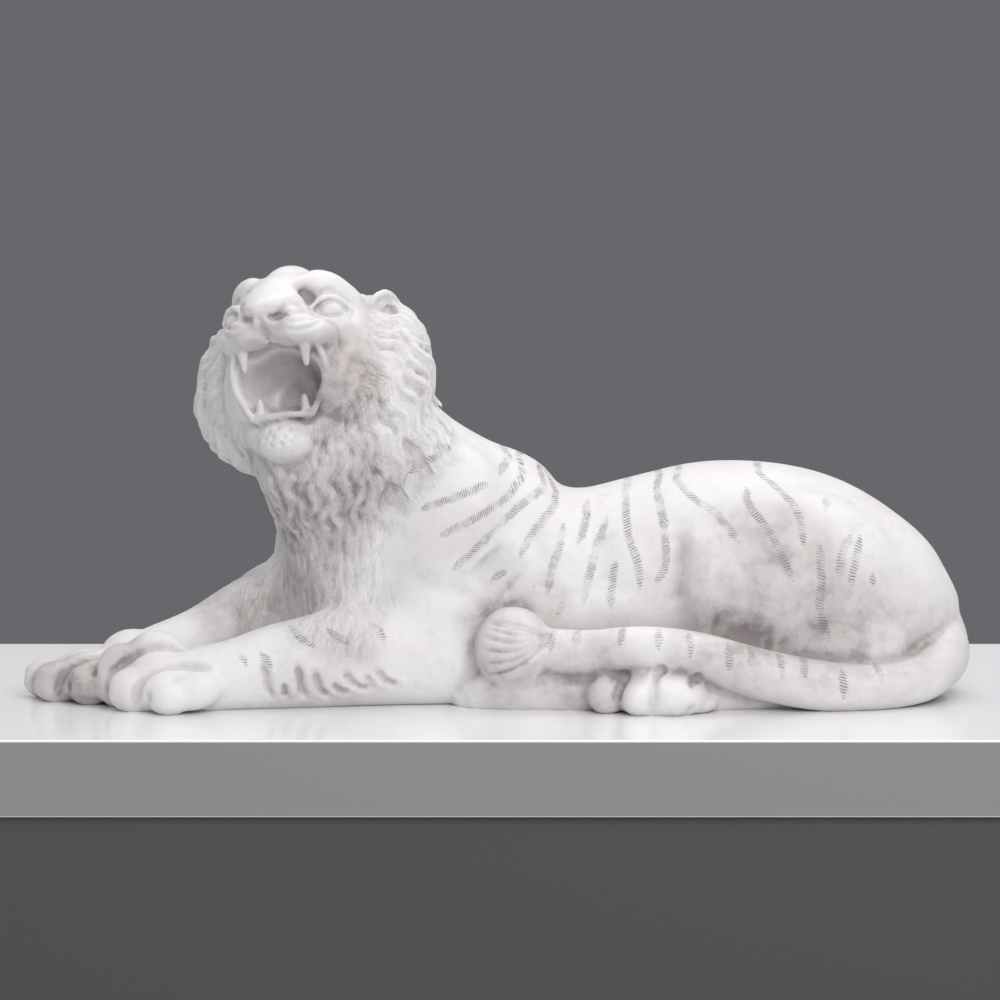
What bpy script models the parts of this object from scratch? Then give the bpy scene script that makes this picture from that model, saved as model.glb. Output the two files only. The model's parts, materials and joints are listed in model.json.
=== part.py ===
"""A reclining, roaring tiger, cast in one piece, for a shelf or a table top.

Millimetres are used throughout and turned into metres once, at the end. The animal faces -X, its left
flank faces -Y, and it lies on the plane z = 0. Lumps of clay are laid over each other, fused into one
skin by a voxel remesh and softened, coarse masses first and finer forms later. Grooves, folds and
ridges are then drawn on the skin with a round brush.
"""

import math

import bmesh
import bpy
import numpy as np
from mathutils import Euler, Matrix, Vector
from mathutils.bvhtree import BVHTree

MM = 0.001

# The casting's outer sizes: paws to rump, flank to flank, and floor to forehead
LENGTH = 480
WIDTH = 172
HEIGHT = 219

# Fineness of the three fusing stages, and the faces that the finished skin keeps
MASS_VOXEL = 2.6
FORM_VOXEL = 1.7
FACE_VOXEL = 1.3
FACE_LIMIT = 11600

# Torso, from the floor up
WITHERS_HEIGHT = 127
LOIN_HEIGHT = 102.5
HIP_HEIGHT = 117
RUMP_HEIGHT = 92
CHEST_HALF_WIDTH = 46
BARREL_HALF_WIDTH = 46
HIP_HALF_WIDTH = 51
BELOW_FLOOR = 8

# Head: where its centre is, and how it is turned
HEAD_CENTRE = Vector((-99.5, -16, 181))
HEAD_TURN = 68
HEAD_LIFT = 26
HEAD_TILT = 9
JAW_DROP = 52
CANINE_LENGTH = 15
CANINE_RADIUS = 3.1

# Ruff: rows of locks as (distance forward of the head's centre, half width, half height)
RUFF_ROWS = [(0, 38, 42), (-5, 43, 46), (-9, 49, 50), (-14, 54, 53), (-20, 60, 54), (-30, 60, 54)]
LOCKS_IN_ROW = 24
LOCK_LENGTH = 24
LOCK_RADIUS = 2.3

# Paws and tail
TOE_WIDTH = 9.8
CLAW_RADIUS = 2.4
TAIL_RADIUS = 12
TUFT_HEIGHT = 51

# Round the rump, over the near hind foot and to the near elbow: (x, y, z, share of the full thickness)
TAIL_ROUTE = [
    (190, 6, 56, 1.8),
    (212, 0, 44, 1.5),
    (225, -9, 32, 1.25),
    (227, -26, 20, 1.1),
    (215, -44, 13, 1.0),
    (194, -57, 10.5, 0.95),
    (165, -63, 12, 1.05),
    (135, -66, 18, 1.05),
    (105, -68, 27, 1.0),
    (75, -67, 31, 0.95),
    (48, -62, 28, 0.98),
    (28, -58, 28, 1.0),
    (16, -56, 28, 1.0),
]

# Toes of the four paws, as rows of (tip x, tip y, heading in degrees, length, height)
NEAR_FRONT = [
    (-173, -77, 190, 30, 19),
    (-194, -65, 184, 36, 25),
    (-201, -50, 181, 38, 37),
    (-190, -37, 176, 32, 27),
]
FAR_FRONT = [
    (-215, -44, 190, 30, 21),
    (-234, -34, 186, 36, 24),
    (-240, -19, 182, 36, 23),
    (-228, -6, 174, 30, 19),
]
NEAR_HIND = [
    (50, -78, 232, 28, 21),
    (68, -86, 244, 29, 20),
    (87, -87, 254, 27, 19),
    (101, -78, 262, 24, 13),
]
FAR_HIND = [(46, 75, 128, 28, 21), (64, 83, 116, 29, 20), (83, 84, 106, 27, 19), (100, 79, 98, 26, 15)]
PAWS = (NEAR_FRONT, FAR_FRONT, NEAR_HIND, FAR_HIND)

# Folds of hair at the back of the forelegs: distance along the body, how tall and how far back each leans
FOREARM_FOLDS = [
    (-117, 9, 3),
    (-109, 15, 1),
    (-103, 8, 5),
    (-94, 17, 4),
    (-85, 13, 0),
    (-79, 16, 6),
    (-69, 11, 2),
    (-61, 14, 5),
]


def clay_ball(clay, centre, radii, turn=(0, 0, 0), frame=None):
    """An ellipsoid. turn is in degrees, and frame carries it from a local frame, such as the head's."""
    place = Matrix.LocRotScale(Vector(centre), Euler([math.radians(a) for a in turn]), Vector(radii))
    if frame is not None:
        place = frame @ place
    bmesh.ops.create_icosphere(clay, subdivisions=3, radius=1, matrix=place)


def smooth_path(stations, steps):
    """Catmull-Rom points through the stations, each a row of numbers, with steps points to a span."""
    rows = np.array(stations, float)
    ends = np.vstack([2 * rows[0] - rows[1], rows, 2 * rows[-1] - rows[-2]])
    out = []
    for a, b, c, d in zip(ends, ends[1:], ends[2:], ends[3:]):
        for t in np.arange(steps) / steps:
            bend = (2 * a - 5 * b + 4 * c - d) * t**2 + (3 * b - a - 3 * c + d) * t**3
            out.append(0.5 * (2 * b + (c - a) * t + bend))
    out.append(rows[-1])
    return np.array(out)


def clay_limb(clay, stations, frame=None, steps=5, sides=20):
    """A rounded limb through stations of (x, y, z, half width, half height)."""
    path = smooth_path(stations, steps)
    places = [Vector(row[:3]) for row in path]
    up = Vector((0, 0, 1))
    ring = None
    for i, (place, row) in enumerate(zip(places, path)):
        ahead = (places[min(i + 1, len(places) - 1)] - places[max(i - 1, 0)]).normalized()
        side = ahead.cross(up)
        if side.length < 0.2:
            side = ahead.cross(Vector((0, 1, 0)))
        side.normalize()
        over = side.cross(ahead)
        turn = Matrix((side * row[3], over * row[4], ahead)).transposed().to_4x4()
        matrix = Matrix.Translation(place) @ turn
        if frame is not None:
            matrix = frame @ matrix
        made = bmesh.ops.create_circle(clay, segments=sides, radius=1, cap_ends=i == 0, matrix=matrix)
        edges = {e for v in made["verts"] for e in v.link_edges}
        if ring is not None:
            bmesh.ops.bridge_loops(clay, edges=list(ring | edges))
        ring = edges
    bmesh.ops.contextual_create(clay, geom=list(ring))
    for end in (0, -1):
        row = path[end]
        half = min(row[3], row[4])
        clay_ball(clay, row[:3], (half, half, half), frame=frame)


def clay_strands(clay, routes, frame=None, steps=4):
    """Round tapering strands, each a row of (x, y, z, radius) stations."""
    curve = bpy.data.curves.new("strands", "CURVE")
    curve.dimensions = "3D"
    curve.bevel_depth = 1
    curve.bevel_resolution = 2
    curve.use_fill_caps = True
    for route in routes:
        path = smooth_path(route, steps)
        spline = curve.splines.new("POLY")
        spline.points.add(len(path) - 1)
        for point, row in zip(spline.points, path):
            place = Vector(row[:3])
            if frame is not None:
                place = frame @ place
            point.co = (*place, 1)
            point.radius = max(row[3], 0.2)
    bundle = bpy.data.objects.new("strands", curve)
    bpy.context.scene.collection.objects.link(bundle)
    graph = bpy.context.evaluated_depsgraph_get()
    mesh = bpy.data.meshes.new_from_object(bundle.evaluated_get(graph))
    bpy.data.objects.remove(bundle)
    bpy.data.curves.remove(curve)
    clay.from_mesh(mesh)
    bpy.data.meshes.remove(mesh)


def settled(thing):
    """The mesh of an object with its modifiers applied. The object itself goes."""
    graph = bpy.context.evaluated_depsgraph_get()
    mesh = bpy.data.meshes.new_from_object(thing.evaluated_get(graph))
    old = thing.data
    bpy.data.objects.remove(thing)
    bpy.data.meshes.remove(old)
    return mesh


def placed(mesh):
    thing = bpy.data.objects.new("clay", mesh)
    bpy.context.scene.collection.objects.link(thing)
    return thing


def fused(lumps, voxel, passes, skin=None):
    """One skin round the lumps, and round an earlier skin, with the creases where they meet softened."""
    bmesh.ops.recalc_face_normals(lumps, faces=lumps.faces)
    if skin is not None:
        lumps.from_mesh(skin)
        bpy.data.meshes.remove(skin)
    mesh = bpy.data.meshes.new("clay")
    lumps.to_mesh(mesh)
    lumps.free()
    clay = placed(mesh)
    remesh = clay.modifiers.new("skin", "REMESH")
    remesh.mode = "VOXEL"
    remesh.voxel_size = voxel
    soften = clay.modifiers.new("soften", "SMOOTH")
    soften.factor = 0.5
    soften.iterations = passes
    return settled(clay)


def hollowed(skin, cutter):
    """The skin less the cutter's volume."""
    clay = placed(skin)
    hollow = placed(cutter)
    cut = clay.modifiers.new("hollow", "BOOLEAN")
    cut.operation = "DIFFERENCE"
    cut.solver = "EXACT"
    cut.object = hollow
    result = settled(clay)
    bpy.data.objects.remove(hollow)
    bpy.data.meshes.remove(cutter)
    return result


def surface(skin):
    """A tree for finding places on the skin."""
    clay = bmesh.new()
    clay.from_mesh(skin)
    tree = BVHTree.FromBMesh(clay)
    clay.free()
    return tree


def distances(points, line):
    """For each point its distance from the line, and how far along the line it is, in mm."""
    best = np.full(len(points), 1e9)
    along = np.zeros(len(points))
    run = 0.0
    starts = line[:-1] if len(line) > 1 else line
    ends = line[1:] if len(line) > 1 else line
    for a, b in zip(starts, ends):
        span = b - a
        t = np.clip((points - a) @ span / max(span @ span, 1e-9), 0, 1)
        gap = np.linalg.norm(points - a - t[:, None] * span, axis=1)
        closer = gap < best
        reach = np.linalg.norm(span)
        best[closer] = gap[closer]
        along[closer] = run + t[closer] * reach
        run += reach
    return best, along, max(run, 1e-9)


class Brush:
    """Moves the points of a skin along their normals, near routes that are laid on it."""

    def __init__(self, skin, frame=None):
        self.skin = skin
        self.frame = frame
        self.tree = surface(skin)
        self.points = np.empty((len(skin.vertices), 3))
        self.normals = np.empty((len(skin.vertices), 3))
        self.read()

    def read(self):
        self.skin.vertices.foreach_get("co", self.points.ravel())
        self.skin.vertex_normals.foreach_get("vector", self.normals.ravel())

    def write(self):
        self.skin.vertices.foreach_set("co", self.points.ravel())
        self.skin.update()
        self.read()

    def laid(self, route, steps=4):
        """The route as a line of points on the skin."""
        rows = smooth_path(route, steps) if len(route) > 1 else np.array(route, float)
        line = []
        for row in rows:
            place = Vector(row)
            if self.frame is not None:
                place = self.frame @ place
            line.append(np.array(self.tree.find_nearest(place)[0]))
        return np.array(line)

    def near(self, line, radius):
        """Numbers of the points in the box round the line."""
        low, high = line.min(0) - radius, line.max(0) + radius
        return np.nonzero(np.all((self.points > low) & (self.points < high), axis=1))[0]

    def stroke(self, route, radius, depth, steps=4, sharp=2.0):
        """A ridge of that height, or a groove if depth is negative, fading out at the radius."""
        line = self.laid(route, steps)
        chosen = self.near(line, radius)
        if len(chosen) == 0:
            return
        gap, along, length = distances(self.points[chosen], line)
        weight = np.clip(1 - (gap / radius) ** 2, 0, 1) ** sharp
        if len(line) > 1:
            weight *= np.clip(np.minimum(along, length - along) / length * 5 + 0.35, 0, 1)
        self.points[chosen] += self.normals[chosen] * (weight * depth)[:, None]


def both(route):
    """A route on the left side of the head, and its mirror image on the right."""
    yield route
    yield [(row[0], -row[1], *row[2:]) for row in route]


def combed(tree, start, way, length, radius, lift, flick, fall, sway, phase):
    """Stations of a lock that lies on the skin from start, heads one way, falls and waves as it goes.

    lift and flick are how far its root and its tip stand off the skin, as shares of its radius.
    """
    place, normal = tree.find_nearest(Vector(start))[:2]
    heading = Vector(way).normalized()
    down = Vector((0, 0, -1))
    steps = 7
    stations = []
    for i in range(steps + 1):
        t = i / steps
        thick = radius * min(1.0, 0.6 + 2.4 * t, 0.25 + 1.7 * (1 - t))
        stations.append((*(place + normal * radius * (lift + (flick - lift) * t * t)), thick))
        heading = (heading + down * fall / steps).normalized()
        tangent = heading - normal * heading.dot(normal)
        turn = math.radians(sway) * math.cos(2.6 * math.pi * t + phase)
        tangent.rotate(Matrix.Rotation(turn, 3, normal))
        place, normal = tree.find_nearest(place + tangent.normalized() * length / steps)[:2]
    return stations


def head_frame():
    """The head's own frame: forward, to the animal's left, and up."""
    turn = math.radians(HEAD_TURN)
    lift = math.radians(HEAD_LIFT)
    level = Vector((-math.cos(turn), -math.sin(turn), 0))
    forward = level * math.cos(lift) + Vector((0, 0, math.sin(lift)))
    left = Vector((0, 0, 1)).cross(level)
    up = forward.cross(left)
    upright = Matrix.Translation(HEAD_CENTRE) @ Matrix((forward, left, up)).transposed().to_4x4()
    return upright @ Matrix.Rotation(math.radians(HEAD_TILT), 4, "X")


def torso(clay):
    """Rump, barrel and chest: stations of (x, y, height of the back, half width)."""
    backs = [
        (222, -6, 50, 22),
        (208, -4, 70, 38),
        (189, -2, RUMP_HEIGHT, HIP_HALF_WIDTH - 4),
        (155, 0, HIP_HEIGHT - 5, HIP_HALF_WIDTH),
        (115, 0, HIP_HEIGHT, HIP_HALF_WIDTH - 3),
        (80, 0, HIP_HEIGHT - 7, BARREL_HALF_WIDTH),
        (45, 0, LOIN_HEIGHT, BARREL_HALF_WIDTH - 1),
        (15, 0, LOIN_HEIGHT + 5.5, BARREL_HALF_WIDTH),
        (-12, 0, WITHERS_HEIGHT, CHEST_HALF_WIDTH),
        (-42, 0, WITHERS_HEIGHT - 7, CHEST_HALF_WIDTH),
        (-70, 2, 100, CHEST_HALF_WIDTH - 6),
    ]
    stations = [(x, y, (top - BELOW_FLOOR) / 2, half, (top + BELOW_FLOOR) / 2) for x, y, top, half in backs]
    clay_limb(clay, stations, sides=32)
    clay_ball(clay, (-64, -4, 64), (44, 42, 58))


def neck(clay):
    """The neck, turned towards the near side, and the throat under it."""
    nape = [(-15, 0, 88, 42, 40), (-50, -5, 116, 40, 35), (-78, -12, 148, 39, 38), (-92, -16, 172, 37, 36)]
    clay_limb(clay, nape)
    clay_limb(clay, [(-70, -8, 60, 36, 34), (-80, -18, 98, 31, 31), (-92, -28, 128, 30, 30)])


def shoulders_and_forelegs(clay):
    """Near foreleg along the floor, and the far one that reaches further forward."""
    clay_ball(clay, (-26, -31, 84), (34, 20, 46), (0, 14, 0))
    clay_ball(clay, (-28, -36, 34), (34, 19, 34))
    near = [
        (-14, -37, 22, 18, 24),
        (-60, -42, 24, 19, 26),
        (-106, -50, 20, 17.5, 23),
        (-133, -55, 16, 16, 18.5),
        (-156, -58, 13, 17, 17),
    ]
    clay_limb(clay, near)
    clay_ball(clay, (-80, 22, 74), (33, 24, 46))
    far = [
        (-60, 30, 60, 24, 30),
        (-98, 14, 46, 21, 26),
        (-128, 1, 36, 18, 21),
        (-150, -9, 26, 16.5, 18.5),
        (-174, -19, 19, 16.5, 17),
    ]
    clay_limb(clay, far)


def haunches(clay):
    """Thighs, knees and folded lower legs."""
    for side, forward in ((-1, 0), (1, 4)):
        clay_ball(clay, (152 - forward, side * 31, 56), (60, 25, 50), (0, 12, 0))
        clay_ball(clay, (114 - forward, side * 37, 50), (27, 20, 40), (0, -12, 0))
        clay_ball(clay, (172 - forward, side * 36, 26), (40, 22, 26))
        foot = [
            (160 - forward, side * 46, 10, 16, 14),
            (120 - forward, side * 52, 9, 15, 13),
            (92 - forward, side * 62, 8, 15, 12),
            (76 - forward, side * 67, 7, 16, 11),
        ]
        clay_limb(clay, foot)


def tail(clay):
    """The tail, the tuft that ends it, and the stone left standing under it."""
    thick = TAIL_RADIUS
    clay_limb(clay, [(x, y, z, k * thick, k * thick) for x, y, z, k in TAIL_ROUTE])
    top = TUFT_HEIGHT
    half = top * 0.42
    clay_ball(clay, (9.5, -57, top - half), (20, 19, half), (0, -10, 0))
    clay_limb(clay, [(8, -50, 12, 17, 17), (30, -51, 10, 15, 15), (62, -56, 12, 15, 16)])


def toe_way(heading):
    return Vector((math.cos(math.radians(heading)), math.sin(math.radians(heading)), 0))


def paws(clay):
    """Toes, each with its knuckle behind, and the sole or the back of the foot behind them."""
    width = TOE_WIDTH
    for x, y, heading, length, height in (row for paw in PAWS for row in paw):
        way = toe_way(heading)
        front = Vector((x, y, height * 0.4)) - way * length * 0.34
        knuckle = Vector((x, y, height * 0.56)) - way * length * 0.8
        clay_ball(clay, front, (length * 0.37, width, height * 0.46), (0, 0, heading))
        clay_ball(clay, knuckle, (length * 0.46, width * 0.92, height * 0.48), (0, 16, heading))
    clay_ball(clay, (-165, -57, 12), (22, 21, 16))
    clay_ball(clay, (-168, -53, 16), (18, 14, 16))
    clay_ball(clay, (-200, -26, 11), (26, 22, 14))
    clay_ball(clay, (-184, -23, 19), (18, 16, 16))
    for side in (-1, 1):
        clay_ball(clay, (82, side * 69, 9), (26, 17, 13), (0, 0, side * 24))


def toe_clefts_and_claws(skin):
    """Clefts between the toes, and a pit at the tip of each with the end of a drawn-in claw in it."""
    brush = Brush(skin)
    tips = []
    for paw in PAWS:
        for one, other in zip(paw, paw[1:]):
            x, y, heading, length, height = (np.array(one) + np.array(other)) / 2
            way = toe_way(heading)
            middle = Vector((x, y, 0)) - way * 3
            route = []
            cleft = ((0, 0.1), (0.05, 0.5), (0.35, 0.85), (0.75, 0.95), (1.1, 0.85))
            for back, rise in cleft if x < 0 else cleft[:4]:
                route.append(tuple(middle - way * length * back + Vector((0, 0, height * rise))))
            brush.stroke(route, 4, -3 if x < 0 else -2)
        for x, y, heading, length, height in [row for row in paw if row[4] > 16]:
            tips.append(tuple(Vector((x, y, height * 0.44)) - toe_way(heading) * 1.5))
    brush.write()
    for radius, depth in ((CLAW_RADIUS * 1.7, -1.8), (CLAW_RADIUS * 0.85, 1.1)):
        for tip in tips:
            brush.stroke([tip], radius, depth)
        brush.write()


def tuft_grooves(skin):
    """Grooves that part the tuft's hair, from where it leaves the tail over the top and the near side."""
    brush = Brush(skin)
    for top, low in ((50, 50), (46, 48), (41, 44), (36, 38), (31, 31), (26, 23), (20, 15)):
        route = [(27, -64, 37), (21, -74, (37 + top) / 2), (8, -78, top), (-8, -70, low)]
        brush.stroke(route, 2.2, -1.3)
    brush.write()


def skull(clay, frame):
    """Cranium and upper jaw, cheeks, brow, muzzle and lower jaw, in the head's frame."""
    jaw = -JAW_DROP
    cranium = [
        (-34, 0, -8, 38, 36),
        (-12, 0, -3, 40, 34),
        (8, 0, 2, 35, 26),
        (22, 0, 3, 26, 20),
        (33, 0, -1, 20, 15),
        (43, 0, -6, 16, 10.5),
        (47, 0, -8, 13, 8.5),
    ]
    clay_limb(clay, cranium, frame=frame)
    clay_ball(clay, (28, 0, -10), (16, 22, 8), frame=frame)
    clay_ball(clay, (-20, 0, -26), (28, 36, 36), frame=frame)
    clay_ball(clay, (10, 0, 18), (19, 15, 14), (0, 12, 0), frame=frame)
    clay_ball(clay, (30, 0, 10), (17, 12, 9), (0, 36, 0), frame=frame)
    clay_ball(clay, (47, 0, -7.5), (7.5, 11.5, 6.5), frame=frame)
    for side in (-1, 1):
        brow = [
            (23, side * 15, 15.5, 7, 8),
            (16, side * 21, 16, 8.5, 8.5),
            (4, side * 27, 13, 8, 8),
            (-8, side * 31, 8, 8, 8),
        ]
        clay_limb(clay, brow, frame=frame)
        clay_ball(clay, (37, side * 11, -13), (11.5, 12, 8), (0, 0, side * -14), frame=frame)
        clay_ball(clay, (29, side * 19.5, -13), (14, 10.5, 8), (0, 0, side * -30), frame=frame)
        clay_ball(clay, (12, side * 27, -3), (14, 9, 8), (0, 10, side * -35), frame=frame)
        clay_ball(clay, (6, side * 21, -22), (21, 13, 27), (0, 4, 0), frame=frame)
        clay_ball(clay, (-4, side * 27, -26), (20, 13, 28), (0, 8, side * -8), frame=frame)
        mandible = [
            (-16, side * 27, -30, 12, 13),
            (-6, side * 22, jaw + 10, 10, 11),
            (4, side * 15, jaw - 2, 9, 9),
            (9, side * 8, jaw - 6, 8, 8),
        ]
        clay_limb(clay, mandible, frame=frame)
    clay_ball(clay, (12, 0, jaw - 9), (10.5, 16, 11), frame=frame)
    clay_ball(clay, (-12, 0, jaw - 8), (24, 22, 12), frame=frame)


def mouth_hollow(frame):
    """The space between the jaws, from in front of the lips back into the throat."""
    gape = -(JAW_DROP + 15) / 2
    throat = [
        (60, 0, gape + 4, 29, 13),
        (30, 0, gape, 24, 14.5),
        (14, 0, gape, 20, 14),
        (0, 0, gape - 1, 14, 10),
    ]
    clay = bmesh.new()
    clay_limb(clay, throat, frame=frame, sides=28)
    return fused(clay, 1.5, 4)


def tooth(root, tip, thick):
    """A tooth as a strand: a slightly bowed cone with a rounded tip."""
    root, tip = Vector(root), Vector(tip)
    rows = []
    for t, width in ((0, 1.1), (0.35, 1.0), (0.7, 0.76), (0.92, 0.5), (1, 0.2)):
        bow = Vector((1, 0, 0)) * math.sin(math.pi * t) * 0.7
        rows.append((*(root.lerp(tip, t) + bow), thick * width))
    return rows


def teeth_and_tongue(clay, frame):
    jaw = -JAW_DROP
    fang = CANINE_LENGTH
    rows = []
    for side in (-1, 1):
        rows.append(tooth((34, side * 17, -14), (28, side * 16.5, -15 - fang), CANINE_RADIUS))
        low = jaw + 1
        rows.append(tooth((14, side * 12, low), (19.5, side * 12, low - 4 + fang), CANINE_RADIUS * 0.94))
        for reach, left in ((40, 2.2), (39.3, 6.4), (37.8, 10.4)):
            rows.append(tooth((reach, side * left, -12), (reach - 1, side * left, -20.5), 2.6))
        for reach, left in ((15, 1.8), (14.5, 5), (13.5, 8)):
            rows.append(tooth((reach, side * left, jaw - 2), (reach + 1.5, side * left, jaw + 5), 1.7))
        for reach, left, length in ((19, 19, 5), (10, 20, 6)):
            rows.append(tooth((reach, side * left, -14), (reach, side * (left - 1), -19 - length), 2.8))
    clay_strands(clay, rows, frame=frame)
    tongue = [(-16, 0, jaw + 10, 13, 7), (-2, 0, jaw + 9, 12.5, 6), (8, 0, jaw + 5, 10, 4)]
    clay_limb(clay, tongue, frame=frame)


def eye_sockets(skin, frame):
    """Hollows for the eyes, pressed in before the eyeballs and their lids are laid on."""
    brush = Brush(skin, frame)
    for route in both([(33, 15, 8), (29, 19, 7), (26, 22, 7)]):
        brush.stroke(route, 7, -3.5)
    for route in both([(27, 23, 5), (21, 27, 6.5), (16, 31, 7)]):
        brush.stroke(route, 7, -3.5)
    brush.write()


def jaw_line(reach):
    """Height of the lower lip at a distance forward of the head's centre."""
    return -JAW_DROP + 1 + (reach - 17) * 0.2


def eyes_ears_and_lips(clay, frame):
    strands = []
    for side in (-1, 1):
        clay_ball(clay, (19.4, side * 23.2, 6), (7.3, 7.3, 7.3), frame=frame)
        clay_ball(clay, (-15, side * 39, 12), (9, 4.5, 9), (side * -30, -10, 0), frame=frame)
        upper = [(30.5, 20, 3), (27.5, 22.5, 9), (22, 27, 12), (17, 30.5, 11), (12, 32.5, 8)]
        lower = [(30.5, 20, 3), (26, 23.5, 0.5), (21.5, 27, 1), (17, 30.5, 4), (12, 32.5, 8)]
        for lid, thick in ((upper, 1.6), (lower, 1.2)):
            strands.append([(reach, side * left, up, thick) for reach, left, up in lid])
        ear = [(-5, 35, 8), (-4, 39, 16), (-10, 43, 21), (-19, 45, 20), (-25, 46, 13), (-24, 45, 5)]
        strands.append([(reach, side * left, up, 1.9) for reach, left, up in ear])
        rim = [
            (37, side * 13, -18.5),
            (31, side * 20.5, -18),
            (26.5, side * 24.5, -25),
            (21.5, side * 24, -36),
            (17, side * 15.5, jaw_line(17)),
        ]
        strands.append([(*place, 1.8) for place in rim])
    lip = jaw_line(18)
    front = [(17, -15.5), (20, -8), (21, 0), (20, 8), (17, 15.5)]
    strands.append([(reach, left, lip, 1.8) for reach, left in front])
    clay_strands(clay, strands, frame=frame)


def ruff_collar(clay, frame):
    """A thick ring of hair round the cheeks, set back from the face."""
    edge = [(34, 14), (46, 4), (51, -9), (52, -25), (46, -38), (34, -48), (17, -55), (0, -58)]
    for reach, share in ((-23, 1.0), (-14, 0.84)):
        for side in (-1, 1):
            stations = [(reach, side * share * left, share * (up + 14) - 14, 11, 9) for left, up in edge]
            clay_limb(clay, stations, frame=frame)


def ruff_locks(clay, frame, tree):
    """Wavy locks in rows, from the edge of the cheeks outwards, that sweep back and fall as they go."""
    turned = frame.to_3x3()
    rows = []
    for row, (reach, wide, tall) in enumerate(RUFF_ROWS):
        for side in (-1, 1):
            for i in range(LOCKS_IN_ROW):
                wobble = math.sin(i * 2.3 + row * 1.7 + side)
                angle = math.radians(40 + (i + 0.5 * (row % 2) + 0.25 * wobble) * 142 / LOCKS_IN_ROW)
                out = Vector((0, side * math.sin(angle), math.cos(angle)))
                round_face = Vector((0, side * math.cos(angle), -math.sin(angle)))
                start = frame @ Vector((reach, wide * out.y, tall * out.z - 14))
                way = turned @ (out * 0.8 + Vector((-0.75, 0, 0)) + round_face * (0.45 + 0.2 * wobble))
                length = LOCK_LENGTH * (1 + 0.2 * wobble)
                radius = LOCK_RADIUS + 0.6 * math.sin(i * 1.9 + row)
                flick = 0.45 + 0.14 * row * (1 + wobble) if i < LOCKS_IN_ROW * 0.6 else 0.2
                phase = i * 0.5 + row * 2
                rows.append(combed(tree, start, way, length, radius, 0.45, flick, 0.7, 32, phase))
    clay_strands(clay, rows, steps=3)


def chest_locks(clay, tree):
    """Wavy locks that hang down the throat and the chest, fainter the lower they are."""
    rows = []
    middle = Vector((-66, -6, 0))
    for row, height in enumerate((134, 120, 106, 92, 78, 65, 53)):
        for k in range(30):
            heading = math.radians(-72 + (k + 0.5 * (row % 2)) * 5.8)
            way = Vector((-math.cos(heading), -math.sin(heading), 0))
            wobble = math.sin(k * 2.1 + row * 1.3)
            hit = tree.ray_cast(middle + Vector((0, 0, height + 5 * wobble)), way)[0]
            if hit is not None and (hit.xy - middle.xy).length < 60:
                turn = math.sin(k * 0.5 + row * 2.2) * 0.16
                fall = Vector((way.y * turn, -way.x * turn, -1))
                radius = 2.6 - 0.16 * row + 0.3 * wobble
                lift = -0.1 - 0.07 * row
                phase = k * 0.6 + row * 2
                rows.append(combed(tree, hit, fall, 30 + 5 * wobble, radius, lift, lift, 0, 16, phase))
    clay_strands(clay, rows, steps=3)


def face_lines(skin, frame):
    """Cheekbones, nostrils, lip furrow and whisker folds, in the head's frame."""
    brush = Brush(skin, frame)
    for route in both([(24, 25, 3), (18, 31, 2), (10, 36, 3)]):
        brush.stroke(route, 6, 1.5)
    for route in both([(24, 29, -20), (17, 31, -24), (12, 32, -32)]):
        brush.stroke(route, 11, -1)
    for route in both([(50, 11, -4), (44, 15, -2), (38, 17, -1)]):
        brush.stroke(route, 4, -1.8)
    brush.stroke([(53, 0, -11), (49, 0, -15), (44, 0, -18)], 4, -2)
    brush.write()
    for route in both([(52, 4, -11), (50.5, 7.5, -12), (48.5, 10.5, -9), (46.5, 12.5, -6)]):
        brush.stroke(route, 3.2, -3.5)
    for route in both([(53, 3, -6), (50, 9, -5), (47, 12, -4)]):
        brush.stroke(route, 3, 0.8)
    brush.write()
    folds = [
        [(47, 11, -10), (45, 15, -8), (40, 18, -5), (37, 18.5, -4)],
        [(46.5, 12, -13), (44.5, 17, -13), (39, 21.5, -9.5), (33, 24, -6)],
        [(46, 11.5, -16), (43.5, 17, -16.5), (39, 22, -14), (34, 25.5, -10.5)],
        [(43, 14, 1), (38, 16.5, 2), (34, 19, 2)],
        [(42, 15.5, -1.5), (37, 18.5, -0.5), (32, 21.5, -1)],
        [(41, 17.5, -3.5), (36, 20.5, -3), (31, 23.5, -3.5)],
    ]
    for number, fold in enumerate(folds):
        for route in both(fold):
            brush.stroke(route, 2.1, -1.0 if number < 3 else -0.6)
    for route in both([(-11, 43, 14), (-18, 46, 11)]):
        brush.stroke(route, 6, -3.5)
    brush.write()
    for route in both([(25.4, 27, 6)]):
        brush.stroke(route, 2.8, -0.9)
    brush.write()
    for route in both([(25.4, 27, 6)]):
        brush.stroke(route, 1.4, 0.8)
    brush.write()


def body_forms(skin):
    """Broad soft hollows and swellings of the muscles under the skin."""
    brush = Brush(skin)
    for side in (-1, 1):
        for radius, depth, route in (
            (15, -3.5, [(10, 48, 58), (2, 47, 66), (-6, 46, 74)]),
            (17, 2.2, [(-34, 44, 62), (-22, 44, 84), (-8, 42, 104)]),
            (13, -3, [(-52, 36, 92), (-44, 34, 108), (-36, 32, 120)]),
            (9, -1.8, [(92, 46, 50), (93, 46, 70), (92, 42, 90)]),
            (11, 1.6, [(102, 50, 46), (103, 50, 66), (103, 44, 88)]),
            (15, -4, [(106, 52, 40), (122, 54, 36), (140, 54, 30)]),
            (12, 1.6, [(30, 46, 40), (52, 46, 48), (74, 46, 46)]),
            (10, -1.4, [(22, 46, 92), (26, 46, 74), (24, 46, 56)]),
            (10, -1.2, [(52, 44, 92), (56, 46, 76), (56, 46, 60)]),
        ):
            brush.stroke([(x, side * y, z) for x, y, z in route], radius, depth)
    brush.write()


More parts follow.
